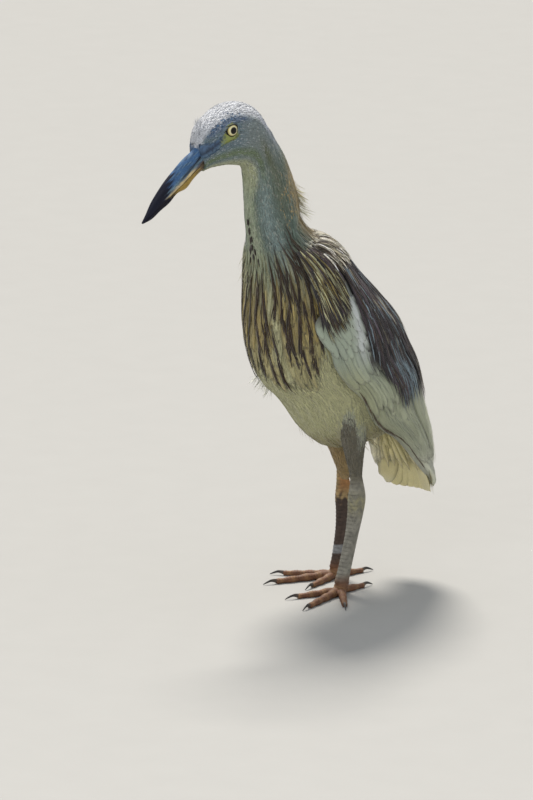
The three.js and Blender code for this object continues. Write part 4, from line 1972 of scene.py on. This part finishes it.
        rng, coat, t, a = self.begin(self.on_breast, weight)
        t, a = lowest_first(t, a)
        lower = ramp(t, 12.8, 15.5)
        lay = self.on_breast.lay(len(t), rng)
        lay.length *= 14 + 10 * lower
        lay.width *= 1.3 + 3.0 * lower
        lay.curl += self.inward(t, a)
        colours = self.buff(t, a, rng)
        vanes = coat.piece("body_feathers", "plumes", t, a, lay, PLUME, colours)
        barbs = Joined("body_feathers_strands")
        fine = [Strip(x, 0.17, 0.1 + 0.1 * (x * 5 % 1)) for x in (-0.8, -0.4, 0.0, 0.4, 0.8)]
        coat.lay(barbs, t, a, lay, PLUME, mix(colours, Hue.PLUME_PALE, 0.15), 0, fine, rng, 0.18)
        return [vanes, barbs.build(SOFT_FEATHER, "body_feathers"), self.streaks(coat)]

    @staticmethod
    def inward(t: Array, a: Array) -> Array:
        """How far plumes at the bib's outer edge curl in towards its pointed end."""
        turn = np.abs(np.degrees(np.where(a > math.pi, a - 2 * math.pi, a)))
        return 0.28 * hump(turn, 118, 14) * ramp(t, 14.5, 16.5) * np.where(a > math.pi, -1, 1)

    @staticmethod
    def buff(t: Array, a: Array, rng: Random) -> Array:
        """The ground colour of the breast's plumes, which is the neck's at their top.

        Args:
            t: Row numbers.
            a: Turns, in radians.
            rng: The random source.

        Returns:
            One colour for each root.
        """
        colours = mix(Hue.PLUME, Hue.PLUME_OLIVE, rng.random(len(t)) * 0.9)
        colours = mix(shaded(colours, rng, 0.15), Hue.PLUME_PALE, Markings.pale_stripe(t, a))
        colours = mix(colours, Hue.BELLY, 0.5 * ramp(t, 15.2, 17.0))
        above = Markings.body(np.full(len(t), 12.2), a)
        return mix(above, colours, ramp(t + rng.normal(0, 0.2, len(t)), 12.8, 14.6))

    def streaks(self, coat: Coat) -> Piece:
        """The dark streaks down the breast, each a chain of loose dark strands.

        Args:
            coat: The breast's coat.

        Returns:
            The piece.
        """
        rng = np.random.default_rng(22)
        joined = Joined("body_feathers_streaks")
        # Where each starts and ends, as row and turn, and how wide its strands are.
        streaks = (
            (12.4, 98, 14.6, 98, 1.5),
            (12.7, 106, 15.8, 106, 1.6),
            (13.2, 113, 17.0, 116, 1.8),
            (12.9, 121, 17.9, 124, 1.6),
            (13.4, 129, 17.8, 131, 1.9),
            (13.0, 137, 17.6, 138, 1.6),
            (13.6, 145, 17.2, 143, 1.4),
            (12.9, 150, 15.2, 152, 1.6),
            (15.6, 157, 17.7, 153, 1.4),
            (13.3, 166, 16.6, 163, 1.5),
            (15.0, 170, 17.6, 161, 1.3),
            (13.2, 176, 17.4, 173, 1.6),
        )
        for side in Side:
            for t_start, turn_start, t_end, turn_end, width in streaks:
                count = int(8 * (t_end - t_start)) + 3
                share = (np.arange(count) + rng.random(count)) / count
                t = t_start - 0.5 * (turn_start < 150) + (t_end - t_start) * share
                # The streak sways, and each strand points to where it has gone by its tip.
                drift = (turn_end - turn_start) / (t_end - t_start)
                turn = turn_start + drift * (t - t_start) + rng.normal(0, 0.5, count)
                sway, next_sway = (1.8 * np.sin(2.5 * (t + ahead) + turn_start) for ahead in (0, 1))
                turn += sway
                lay = Lay.of(count, rng, (15, 23), (0.4 * width, 0.9 * width), (2.5, 2.95), 1.6, 0.02, 0.04)
                lay.swirl += side.value * np.arctan(2.6 * np.radians(drift + next_sway - sway))
                lay.length *= 1.2 - 0.5 * ramp(share, 0.6, 1)
                lay.width *= 0.5 + 0.5 * ramp(share, 0, 0.3)
                a = np.radians(360 + side.value * turn) % (2 * math.pi)
                lay.curl += self.inward(t, a)
                dark = mix(Hue.PLUME_DARK, Hue.PLUME_RIM, rng.random(count) * 0.4)
                colours = fade(mix(self.buff(t, a, rng), dark, 0.6), dark, PLUME, 0.0, 0.35)
                coat.lay(joined, t, a, lay, PLUME, colours)
        return joined.build(SOFT_FEATHER, "body_feathers")


@dataclass
class Spray:
    """One kind of long loose plume of the mantle and scapulars, on the left side."""

    name: str
    count: int  # on each side
    t: Span
    a: Span  # in degrees
    length: Span
    width: Span
    high: Span
    tones: Tones
    swirl: float = 0.0  # how far they turn towards the lower edge of the wing, in radians
    from_band: bool = False  # whether the turns count from the dark band's front edge
    barbs: int = 2
    low: float = 0.2  # the roots' height over the hull


@dataclass
class Cape:
    """The mantle and scapular plumes that hang over the back and the folded wings."""

    dark: Tones = ((Hue.CAPE, 0.62), (Hue.CAPE_PLUM, 0.22), (Hue.CAPE_BROWN, 0.16))
    sprays: tuple[Spray, ...] = field(init=False)

    def __post_init__(self) -> None:
        """Lists the plumes from the lowest layer up."""
        dark, brown, plum = self.dark, (Hue.CAPE_BROWN, 0.4), (Hue.CAPE_PLUM, 0.3)
        # pale: a few pale strands among the dark edge and mantle plumes, painted rim highlights.
        pale, grey = (Hue.CAPE_PALE, 0.12), (Hue.CAPE_GREY, 0.9)
        buff, olive = (Hue.PLUME_PALE, 0.4), (Hue.PLUME_OLIVE, 0.4)
        fan = ((Hue.MANTLE_PALE, 0.7), (Hue.CAPE_PALE, 0.4), brown)
        hair, shawl = (olive, brown, (Hue.WING, 0.35)), (buff, olive, brown)
        # blue: a few blue-grey strands in the dark band and the mantle, a painted bluish sheen.
        deep, blue = (*dark, brown, (buff[0], 0.16)), (Hue.CAPE_GREY, 0.16)
        edge, back = (*dark, brown, pale), (*dark, plum, pale, blue)
        patch, band = (*dark, grey), (*dark, blue)
        self.sprays = (
            Spray("strings", 40, (4.3, 5.0), (-17, 1), (30, 44), (1.0, 1.7), (1, 1.9), dark, 0.04, True),
            Spray("edge", 230, (3.4, 5.6), (2, 48), (24, 36), (1.4, 2.2), (0.7, 1.3), edge),
            Spray("patch", 240, (3.2, 5.3), (52, 74), (26, 38), (0.8, 1.4), (0.9, 1.4), patch, 0.08),
            Spray("band", 330, (1.6, 4.3), (-17, -1), (26, 40), (1.1, 1.8), (1, 1.7), band, 0.12, True),
            Spray("mantle", 480, (0.8, 3.4), (2, 72), (22, 34), (1.2, 2.1), (1.1, 1.8), back, 0.08),
            Spray(
                "hairs", 170, (1.4, 2.8), (93, 114), (20, 34), (0.4, 0.6), (0.7, 1.2), hair, -0.16, barbs=0
            ),
            Spray(
                "shoulder", 420, (0, 1.95), (80, 114), (18, 30), (1.1, 1.9), (1.2, 2.2), deep, -0.05,
                low=-1.5,
            ),
            Spray("shawl", 120, (0.2, 1.7), (84, 114), (20, 32), (0.4, 0.8), (1.8, 2.5), shawl, -0.08),
            Spray("fan", 380, (0.0, 0.85), (2, 80), (9, 15), (0.9, 1.6), (1.5, 2.4), fan, low=-2.5),
        )

    def build(self) -> list[Piece]:
        """Builds all the sprays, each on both sides.

        Returns:
            One piece for each spray.
        """
        coat = Coat(HULL, (0.0, 6.0), (-125, 125))
        pieces = []
        for number, spray in enumerate(self.sprays):
            joined = Joined(f"wing_feathers_{spray.name}")
            for side in Side:
                rng = np.random.default_rng(100 + number)
                turns = tuple(np.radians((45, 46) if spray.from_band else spray.a))
                t, a = scatter(HULL, (max(spray.t[0], 0.02), spray.t[1]), turns, spray.count, rng)
                if spray.from_band:
                    a = np.radians(Markings.band_front(t) + rng.uniform(*spray.a, len(t)))
                t, a = lowest_first(t, a)
                lay = Lay.of(len(t), rng, spray.length, spray.width, spray.high, spray.low, 0.05, 0.05)
                lay.swirl = lay.swirl + spray.swirl
                _, _, tip, turn = walk(HULL, t, a, lay, PLUME)
                turn = np.degrees(turn)
                # No plume's tip lies on the pale stripe between the shoulder and the dark band.
                before = turn > Markings.stripe_front(tip) - 1
                behind = turn < Markings.band_front(tip) + 1
                held = np.where(a > math.radians(78), before | (tip < 1.7), behind | (tip > 4.6))
                t, a, lay = t[held], a[held], lay.pick(held)
                lay.swirl, lay.curl = lay.swirl * side.value, lay.curl * side.value
                colours = shaded(blend_of(spray.tones, len(t), rng), rng, 0.28)
                coat.lay(joined, t, a * side.value, lay, PLUME, colours)
                strips = (Strip(-0.55, 0.26, 0.12), Strip(0.5, 0.24, 0.16))[: spray.barbs]
                if strips:
                    coat.lay(joined, t, a * side.value, lay, PLUME, colours * 1.1, 0, strips, rng, 0.35)
            pieces.append(joined.build(SOFT_FEATHER, "wing_feathers"))
        return pieces


# ---- wings and tail ----


def closed_sheet(name: str, outer: Array, inner: Array, colours: Array) -> Piece:
    """Makes a closed sheet from the grids of its two faces.

    Args:
        name: The piece's name.
        outer: The outer face's points, by row and column.
        inner: The inner face's.
        colours: One colour for each point of a face.

    Returns:
        The sheet.
    """
    rows, columns = outer.shape[:2]
    number = np.arange(rows * columns).reshape(rows, columns)
    rim = np.concatenate([number[0], number[1:, -1], number[-1, -2::-1], number[-2:0:-1, 0]])
    after = np.roll(rim, -1)
    one, two, three, four = number[:-1, :-1], number[:-1, 1:], number[1:, 1:], number[1:, :-1]
    face = np.stack([one, two, three, four], -1).reshape(-1, 4)
    shift = rows * columns
    quads = np.vstack(
        [face, face[:, ::-1] + shift, np.stack([after, rim, rim + shift, after + shift], -1)]
    )
    points = np.concatenate([outer.reshape(-1, 3), inner.reshape(-1, 3)])
    piece = add_mesh(name, points, quads.tolist())
    tint(piece, np.tile(colours.reshape(-1, 3), (2, 1)))
    face_outwards(piece)
    return piece


@dataclass
class Row:
    """One row of a wing's feathers, given by where they run on the folded wing.

    Along the wing, u runs from 0 at the wrist to 1 at the tip. Across it, v runs from 0 at its
    lower edge to 1 at the back.
    """

    count: int
    u: Span  # the roots' place at v's first and last value
    v: Span
    length: Span  # at v's first and last value
    width: float
    height: Span  # of the roots and of the tips over the hull
    point: float = 0.5  # how blunt the tip is, from 0 for pointed to 1 for square


# Each end of a ring's points: how far across the vane, how much of the shaft, and above or below.
QUILL_RING = (
    (-1.0, 0.0, 0.0),
    (-0.5, 0.1, 0.5),
    (0.0, 1.0, 0.5),
    (0.5, 0.1, 0.5),
    (1.0, 0.0, 0.0),
    (0.5, 0.0, -0.5),
    (0.0, 0.0, -0.5),
    (-0.5, 0.0, -0.5),
)


def quills(
    joined: Joined, midline: Array, normals: Array, half: Array, lean: float, thickness: float,
    colours: Array, patch: Array
) -> None:
    """Adds a batch of broad closed feathers, each with a raised shaft.

    Args:
        joined: What collects them.
        midline: Points by feather and ring, the tip last.
        normals: The surface's normals there.
        half: Half the width by feather and ring.
        lean: How far the right edge is raised over the left one at full width.
        thickness: The vane's thickness.
        colours: Linear colours by feather and ring.
        patch: Their places on the bake map.
    """
    side = unit(np.cross(unit(np.gradient(midline, axis=1)), normals))
    full = half.max()
    shaft = thickness * (1 - 0.7 * np.linspace(0, 1, midline.shape[1]))
    columns = []
    for across, crown, face in QUILL_RING:
        bow = -0.25 * across**2 * (half / full) + lean * across * half / full
        lift = bow + crown * shaft + face * thickness
        columns.append(midline + side * (half * across)[..., None] + normals * lift[..., None])
    joined.add(np.stack(columns, 2)[:, :-1], midline[:, -1], colours, patch)


@dataclass
class Wing:
    """One folded wing: rows of coverts over the long flight feathers, all on the hull."""

    side: Side
    start: float = 2.1  # the hull's row at the wrist
    end: float = 10.75  # and at the wing tip
    rings: int = 10
    thickness: float = 0.3
    reach: float = 190.0  # from wrist to tip, in millimetres
    # Cosines of the hull's turns along its lower edge and its back, from wrist to tip.
    lower: tuple[float, ...] = (-0.1, -0.47, -0.4, -0.34, -0.32, -0.24, -0.13, -0.13, -0.18, -0.2)
    upper: tuple[float, ...] = (0.4, 0.8, 0.92, 0.965, 0.985, 0.99, 0.992, 0.99, 0.96, 0.7)
    flight: tuple[Row, ...] = (
        Row(10, (0.52, 0.44), (0.0, 0.34), (92, 104), 11, (-3.0, -1.6), 0.35),
        Row(13, (0.40, 0.30), (0.02, 0.7), (80, 96), 12, (-2.4, -1.0)),
        Row(7, (0.34, 0.28), (0.62, 0.98), (92, 84), 13, (-1.6, -0.6)),
    )
    coverts: tuple[Row, ...] = (
        Row(15, (0.30, 0.20), (0.0, 0.92), (46, 44), 11, (-1.4, -0.3)),
        Row(17, (0.22, 0.12), (0.0, 0.95), (34, 32), 9.5, (-1.0, -0.12)),
        *(Row(15 + k, (0.16 - 0.034 * k,) * 2, (0.0, 0.95), (19, 19), 7.5, (-0.8, 0.05)) for k in range(5)),
    )

    def spot(self, u: Array, v: Array) -> tuple[Array, Array]:
        """Turns places on the folded wing into the hull's row numbers and turns.

        Args:
            u: How far from the wrist to the tip.
            v: How far from the lower edge to the back.

        Returns:
            The row numbers and the turns.
        """
        u, v = np.broadcast_arrays(np.asarray(u, float), np.asarray(v, float))
        last = len(self.lower) - 1
        low, high = (smooth(np.array(edge)[:, None], u * last)[..., 0] for edge in (self.lower, self.upper))
        if self.side is Side.RIGHT:  # the right wing is held a little higher
            low = low + 0.14 * ramp(u, 0.4, 0.6)
        turn = np.arccos(np.clip(low + (high - low) * v, -1, 1))
        return self.start + (self.end - self.start) * u, self.side.value * turn

    def add_row(self, joined: Joined, row: Row, rng: Random) -> None:
        """Adds one row of feathers.

        Args:
            joined: What collects them.
            row: The row.
            rng: The random source.
        """
        share = (np.arange(row.count) + 0.5) / row.count
        v, u, length = (
            np.interp(share, (0, 1), span) + rng.normal(0, jitter, row.count)
            for span, jitter in ((row.v, 0.006), (row.u, 0.006), (row.length, 1.5))
        )
        along = np.linspace(0, 1, self.rings + 1)
        uu = np.minimum(u[:, None] + along * (length / self.reach)[:, None], 0.985)
        vv = np.clip(v[:, None] + rng.normal(0, 0.012, row.count)[:, None] * along, -0.02, 1.0)
        t, a = self.spot(uu, vv)
        point, _, _, normal = (x.reshape(*t.shape, 3) for x in HULL.read(t.ravel(), a.ravel()))
        rise = np.interp(along**0.7, (0, 1), row.height) + rng.normal(0, 0.06, row.count)[:, None]
        midline = point + normal * rise[..., None]
        outline = (0.45 + 0.55 * ramp(along, 0.0, 0.35)) * (1 - along) ** (0.62 - 0.5 * row.point)
        half = row.width / 2 * outline * rng.uniform(0.93, 1.07, row.count)[:, None]
        tone = np.exp(rng.normal(0, 0.04, row.count))[:, None, None]
        # Each feather is a little darker at its root, where the one before shades it.
        colours = Markings.hull(t, a) * tone * (0.9 + 0.1 * ramp(along, 0.0, 0.5))[None, :, None]
        lean = -0.32 * self.side.value  # the back edge laps over the next
        quills(joined, midline, normal, half, lean, self.thickness, colours, in_map(u, v))

    def build(self) -> list[Piece]:
        """Builds the wing.

        Returns:
            Its flight feathers, coverts and loose barbs.
        """
        word = self.side.word
        rng = np.random.default_rng(31 + self.side.value)
        pieces = []
        for name, rows in (("flight", self.flight), ("coverts", self.coverts)):
            joined = Joined(f"wing_feathers_{name}_{word}")
            for row in rows:
                self.add_row(joined, row, rng)
            nodes = [f"wing_{word}"] if name == "flight" else []
            pieces.append(joined.build(FLIGHT_FEATHER, "wing_feathers", nodes))
        return [*pieces, self.barbs(rng)]

    def barbs(self, rng: Random) -> Piece:
        """Lays fine loose barbs along the feathers, so that the wing looks soft.

        Args:
            rng: The random source.

        Returns:
            The barbs.
        """
        count = 420
        index = np.arange(count)
        u, v = ((0.5 + index * step) % 1 for step in STRIDE)
        t, a = self.spot(u * 0.76, v)
        lay = Lay.of(count, rng, (12, 22), (0.3, 0.5), (0.0, 0.15), -0.5, 0.04, 0.04)
        joined = Joined(f"wing_feathers_barbs_{self.side.word}")
        coat = Coat(HULL, (self.start, self.end), tuple(sorted((0, 125 * self.side.value))))
        coat.lay(joined, t, a, lay, BARB, shaded(Markings.hull(t, a), rng, 0.04))
        # A thin brown line runs along the lower edge of the long feathers.
        count = 70
        t, a = self.spot(rng.uniform(0.42, 0.8, count), rng.uniform(-0.012, 0.006, count))
        lay = Lay.of(count, rng, (8, 13), (0.3, 0.55), (0.0, 0.3), -0.2, 0.02, 0.02)
        coat.lay(joined, t, a, lay, BARB, shades(Hue.WING_EDGE, count, rng, 0.2))
        return joined.build(FLIGHT_FEATHER, "wing_feathers")


@dataclass
class BackPanel:
    """The closed sheet under the mantle and the folded wings, a little inside the hull."""

    outer: float = -1.3
    inner: float = -3.6
    rows: int = 120
    columns: int = 101
    start: float = 0.5  # the hull's row at its front
    end: float = 9.7

    def build(self) -> Piece:
        """Builds the panel.

        Returns:
            The panel.
        """
        wing = Wing(Side.LEFT)
        t = np.linspace(self.start, self.end, self.rows)
        share = np.linspace(-1, 1, self.columns)
        tt, ss = np.meshgrid(t, share, indexing="ij")
        edge = np.abs(wing.spot(np.clip((t - wing.start) / (wing.end - wing.start), 0, 1), t * 0)[1])
        reach = np.where(t < wing.start, np.interp(t, (0, wing.start), (1.5, edge[0])), edge)
        reach = reach - 0.07 * ramp(t, 3, 5) - 0.12 * ramp(t, 8, self.end)
        turn = ss * reach[:, None]
        thin = ramp(np.abs(ss), 0.8, 1) + ramp(tt, 9, self.end) + 1 - ramp(tt, self.start, 0.9)
        middle = (self.outer + self.inner) / 2 - 3.0 * (1 - ramp(tt, self.start, 1.3))
        half = (self.outer - self.inner) / 2 * (1 - 0.85 * np.clip(thin, 0, 1))
        faces = (HULL.point(tt, turn, middle + half * sign) for sign in (1, -1))
        # The sheet takes the hull's markings a little darker: painted shade under the feathers.
        piece = closed_sheet("wing_skin", *faces, Markings.hull(tt, turn) * 0.85)
        return finish_piece(piece, FLIGHT_FEATHER)


@dataclass
class Tail:
    """The tail: twelve broad feathers in a fan, with soft coverts over their roots."""

    count: int = 12
    width: float = 15.5
    rings: int = 12
    thickness: float = 0.3

    @staticmethod
    def colours(a: Array) -> Array:
        """Cream, with a painted white rim highlight on the outermost feathers of the right side."""
        return mix(Hue.TAIL, Hue.TAIL_WHITE, 0.6 * ramp(-a, 0.75, 0.95))

    def build(self) -> list[Piece]:
        """Builds the tail.

        Returns:
            Its feathers and its coverts.
        """
        rng = np.random.default_rng(41)
        across = np.linspace(-0.88, 0.92, self.count)[:, None]
        along = 1 - (1 - np.linspace(0, 1, self.rings + 1)[None, :]) ** 1.7
        t = 0.4 + (TAIL.last - 0.42) * along * (1 - 0.07 * ramp(across, 0.1, 0.9))
        # The left half is folded closer, so that its edge lies under the wing.
        a = across * (0.35 + 0.65 * along**0.8) * np.where(across > 0, 0.5, 1)
        point, _, _, normal = TAIL.read(t, a)
        # The middle pair lies on top, and each feather outwards lies under the one before.
        midline = point + normal * (0.3 - 1.1 * np.abs(across) + 0 * along)[..., None]
        outline = (0.5 + 0.5 * ramp(along, 0.0, 0.4)) * np.clip(1 - along**6, 0, 1) ** 0.5
        half = self.width / 2 * outline + 0 * across
        tone = np.exp(rng.normal(0, 0.03, self.count))[:, None, None]
        patch = np.stack([0.5 + across[:, 0] / 2, np.full(self.count, 0.3)], -1)
        joined = Joined("tail_feathers_fan")
        quills(joined, midline, normal, half, 0.0, self.thickness, self.colours(a) * tone, patch)
        fan = joined.build(FLIGHT_FEATHER, "tail_feathers", ["tail"])
        return [fan, self.coverts(rng)]

    def coverts(self, rng: Random) -> Piece:
        """The soft feathers over both faces of the tail's root, and fine barbs along the fan.

        Args:
            rng: The random source.

        Returns:
            The coverts.
        """
        joined = Joined("tail_feathers_coverts")
        coat = Coat(TAIL, (0.0, 4.0), (-60, 60))
        for face, start, reach, count, length, width in (
            (-1, 0.02, 1.2, 130, (24, 34), (4.5, 7.0)),
            (1, 0.02, 2.0, 160, (22, 32), (4.5, 7.0)),
            (-1, 0.1, 1.3, 200, (16, 26), (0.3, 0.5)),
            (1, 1.4, 3.2, 200, (12, 18), (0.3, 0.5)),
        ):
            t, a = scatter(TAIL, (start, reach), (-0.95, 0.62), count, rng)
            t, a = lowest_first(t, a)
            lay = Lay.of(count, rng, length, width, (0, 0), 0, 0.05, 0.05)
            midline, normals, _, _ = walk(TAIL, t, a, lay, LOCK)
            root = smooth(TAIL.rows, t)[:, 4:] / 2
            deep = root * (1 - 0.5 * np.array(LOCK.shares)) + rng.uniform(0.2, 0.32, (count, 1))
            deep = deep + (0.9 * np.abs(a)[:, None] if face < 0 else 0.0)
            midline = midline + normals * (face * deep)[..., None]
            colours = mix(self.colours(a), Hue.VENT, (face < 0) * 0.7 * (1 - ramp(t, 0, 1.6)))
            colours = shaded(colours, rng, 0.05)
            feather(joined, midline, normals * face, lay, BARB, colours, coat.patch(t, a))
        return joined.build(SOFT_FEATHER, "tail_feathers")


@dataclass
class ThighCoat:
    """The short soft feathers of one thigh, from under the wing down to the garter."""

    side: Side
    count: int = 4600
    radii: tuple[float, ...] = (9.6, 10.2, 8.6, 5.7, 4.1, 3.7, 3.5, 3.4)
    outwards: float = 2.5  # how far its upper end stands out over the knee
    overlap: float = 0.4  # how far it runs down from the garter to the ankle

    def build(self) -> Piece:
        """Builds the coat.

        Returns:
            The coat.
        """
        rng = np.random.default_rng(51 + self.side.value)
        plan = LEGS[self.side]
        knee = (plan.knee[0] + self.side.value * self.outwards, *plan.knee[1:])
        low = tuple(g + self.overlap * (k - g) for g, k in zip(plan.garter, plan.ankle))
        form = Limb([knee, plan.garter, low], self.radii, 0.8)
        coat = Coat(form, (0.0, form.last), (-180, 180))
        t, a = coat.roots(self.count, rng, lambda t, a: 0.7 + 0.9 * ramp(t / form.last, 0.3, 0.7))
        share = t / form.last
        held = share < 0.84 + 0.05 * rng.random(len(t))
        t, a, share = t[held], a[held], share[held]
        lay = Lay.of(len(t), rng, (0.85, 1.15), (0.6, 1.1), (0.5, 0.75), -0.3, 0.06, 0.06)
        lay.length *= 12 - 8 * ramp(share, 0.3, 0.8)
        lay.low -= 2.6 * (1 - ramp(share, 0.1, 0.25))
        lay.high *= 1 - 0.75 * ramp(share, 0.55, 0.85)
        lay.width *= 1 - 0.4 * ramp(share, 0.5, 0.85)
        # The front of the thigh turns to its lower colour sooner, which on the near side is painted shade.
        front = ramp(form.point(t, a + math.pi)[:, 1] - form.point(t, a)[:, 1], 1, 8)
        down = 0.9 * t + 0.3 * front + rng.normal(0, 0.05, len(t))
        colours = mix(Hue.BELLY, Markings.thigh(down, self.side), ramp(down, 0.2, 0.55))
        colours, roll = shaded(colours, rng, 0.1), rng.normal(0, 0.15, len(t))
        return coat.piece("thigh_feathers", self.side.word, t, a, lay, BARB, colours, roll)


@dataclass
class Wisp:
    """One loose tuft that stands out from the coat."""

    t: Span
    a: Span  # in degrees
    count: int
    length: Span
    width: float
    lift: float  # how steeply it leaves the coat, in radians
    droop: Spot  # how far the tips bend, in millimetres
    colour: Array


WISPS = (
    Wisp((11.0, 12.6), (-30, 40), 150, (8, 15), 0.9, 0.5, (0, 2.5, 1.0), Hue.PLUME_PALE),
    Wisp((10.6, 11.8), (-30, 45), 70, (8, 13), 0.7, 0.35, (0, 2, 0), Hue.HINDNECK),
    Wisp((1.6, 2.6), (-38, 20), 16, (3.5, 5.5), 0.6, 0.8, (0, 0.5, 0.6), Hue.CROWN),
    Wisp((13.0, 14.0), (-176, -140), 30, (9, 14), 0.5, 0.4, (0, -1, -3), Hue.PLUME_PALE),
    # A pale tuft, painted white for the glow of light through it.
    Wisp((17.9, 18.6), (-156, -138), 60, (9, 14), 1.1, 0.7, (0, -3, 1), Hue.TAIL_WHITE),
    Wisp((20.8, 21.9), (-180, 180), 50, (10, 18), 0.5, 0.15, (0, 3, -1), Hue.VENT),
    # These wisps take the painted olive shade of the lower flank.
    Wisp((19.8, 21.2), (135, 225), 70, (9, 15), 0.45, 0.1, (0, 0, -1), Hue.FLANK),
)


def build_wisps(skin: Ground) -> Piece:
    """Builds the loose feathers of the nape, brow, breast, belly and vent.

    Args:
        skin: The skin that they grow from.

    Returns:
        The piece.
    """
    joined = Joined("body_feathers_wisps")
    coat = Coat(BODY, (0.0, 22.0), (-180, 180))
    shares = np.array(HAIR.shares)
    for number, wisp in enumerate(WISPS):
        rng = np.random.default_rng(61 + number)
        t, a = rng.uniform(*wisp.t, wisp.count), np.radians(rng.uniform(*wisp.a, wisp.count))
        point, along, _, normal = BODY.read(t, a)
        heading = unit(along) * math.cos(wisp.lift) + normal * math.sin(wisp.lift)
        heading = unit(heading + rng.normal(0, 0.16, (wisp.count, 3)))
        span = rng.uniform(*wisp.length, wisp.count)
        bend = (shares**2 * rng.uniform(0.6, 1.2, (wisp.count, 1)))[..., None] * np.array(wisp.droop)
        midline = skin.settle(point)[:, None] + heading[:, None] * (span[:, None] * shares)[..., None]
        normals = np.repeat(normal[:, None], len(shares), 1)
        lay = Lay.of(wisp.count, rng, wisp.length, (wisp.width, wisp.width), (0, 0))
        colours = shades(wisp.colour, wisp.count, rng, 0.12)
        feather(joined, midline + bend, normals, lay, HAIR, colours, coat.patch(t, a))
    return joined.build(SOFT_FEATHER, "body_feathers")


# ---- stage ----


@dataclass
class Lamp:
    """One soft light that faces the bird: a square, or a broad distant one where it has no size."""

    name: str
    azimuth: float  # where it stands round the bird, in degrees, as for the camera
    elevation: float
    away: float  # in metres
    size: float
    watts: float  # or watts a square metre for a distant light
    colour: str


def direction(azimuth: float, elevation: float) -> Array:
    """The direction from the bird to something that stands round it at these angles."""
    turn, tilt = math.radians(azimuth), math.radians(elevation)
    return np.array([math.sin(turn) * math.cos(tilt), -math.cos(turn) * math.cos(tilt), math.sin(tilt)])


@dataclass
class Studio:
    """A plain pale floor, soft lights and the camera."""

    azimuth: float = 55.0
    elevation: float = 13.0
    distance: float = 4200.0
    scale: float = 0.655  # millimetres that one picture element shows at the bird
    long_side: int = 800
    sensor: float = 36.0
    aim: Spot = (0.0, 0.0, 160.0)
    aside: float = -44.2  # from the aim to the middle of the view, to the right
    above: float = -32.75
    softness: float = 18.0  # how broad the distant light looks, in degrees
    lamp_height: float = 0.18  # of the point that the lamps face, in metres
    sky: Spot = (0.78, 0.8, 0.82)
    sky_strength: float = 0.8
    lamps: tuple[Lamp, ...] = (
        Lamp("key", 246, 56, 2.2, 0, 4.4, "#fff8ee"),
        Lamp("fill", 35, 35, 2.6, 1.3, 10, "#f8faff"),
    )

    def camera(self) -> None:
        """Sets the camera at the viewing angle."""
        back, right = direction(self.azimuth, self.elevation), direction(self.azimuth + 90, 0)
        data = bpy.data.cameras.new("camera")
        data.sensor_width = self.sensor
        data.lens = self.sensor * self.distance / (self.long_side * self.scale)
        data.clip_end = 100
        middle = np.array(self.aim) + right * self.aside + np.cross(back, right) * self.above
        camera = add_object("camera", data)
        camera.location = in_row(middle + back * self.distance)
        camera.rotation_euler = Vector(back).to_track_quat("Z", "Y").to_euler()
        bpy.context.scene.camera = camera

    def light(self, lamp: Lamp) -> None:
        """Hangs one lamp.

        Args:
            lamp: The lamp.
        """
        data = bpy.data.lights.new(lamp.name, "AREA" if lamp.size else "SUN")
        if lamp.size:
            data.size = lamp.size
        else:
            data.angle = math.radians(self.softness)
        data.energy = lamp.watts
        data.color = linear(lamp.colour)
        back = direction(lamp.azimuth, lamp.elevation)
        light = add_object(lamp.name, data)
        light.location = back * lamp.away + (0, 0, self.lamp_height)
        light.rotation_euler = Vector(back).to_track_quat("Z", "Y").to_euler()

    def floor(self) -> None:
        """Lays the floor: a wide disc of matt pale board with a faint grain."""
        deselect_all()
        bpy.ops.mesh.primitive_circle_add(vertices=96, radius=FLOOR_RADIUS, fill_type="NGON")
        floor = bpy.context.object
        floor.name = "floor"
        tint(floor, np.tile(linear("#a4a4a2"), (len(floor.data.vertices), 1)))
        board = Finish("matt_pale_board", grain=30, contrast=0.01, soil=0.01, roughness=0.9, relief=0.0)
        floor.data.materials.append(board.material())
        floor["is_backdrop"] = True

    def build(self) -> None:
        """Sets the whole stage."""
        self.camera()
        self.floor()
        for lamp in self.lamps:
            self.light(lamp)
        world = bpy.data.worlds.new("studio")
        world.use_nodes = True
        sky = world.node_tree.nodes["Background"]
        sky.inputs["Color"].default_value = (*self.sky, 1)
        sky.inputs["Strength"].default_value = self.sky_strength
        bpy.context.scene.world = world
        bpy.context.scene.view_settings.view_transform = "Standard"


# ---- the bird ----


def main() -> None:
    """Builds the bird in order, from the skin out, and then its stage."""
    logging.basicConfig(level=logging.INFO, format="%(name)s: %(message)s")
    skin = Skin().build()
    for side in Side:
        Eye(side).build()
        Leg(side).build()
    Bill().build()
    ground = Ground(skin)
    coat = BodyCoat(ground)
    for part in (coat.head, coat.neck, coat.nape, coat.spots, coat.under, coat.belly, coat.breast):
        part()
    BackPanel().build()
    for side in Side:
        Wing(side).build()
        ThighCoat(side).build()
    Cape().build()
    Tail().build()
    build_wisps(ground)
    Studio().build()

    boxes = {"cad": CAD_BOX, "visual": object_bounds()}
    {key: [list(corner) for corner in box] for key, box in boxes.items()}


if __name__ == "__main__":
    main()
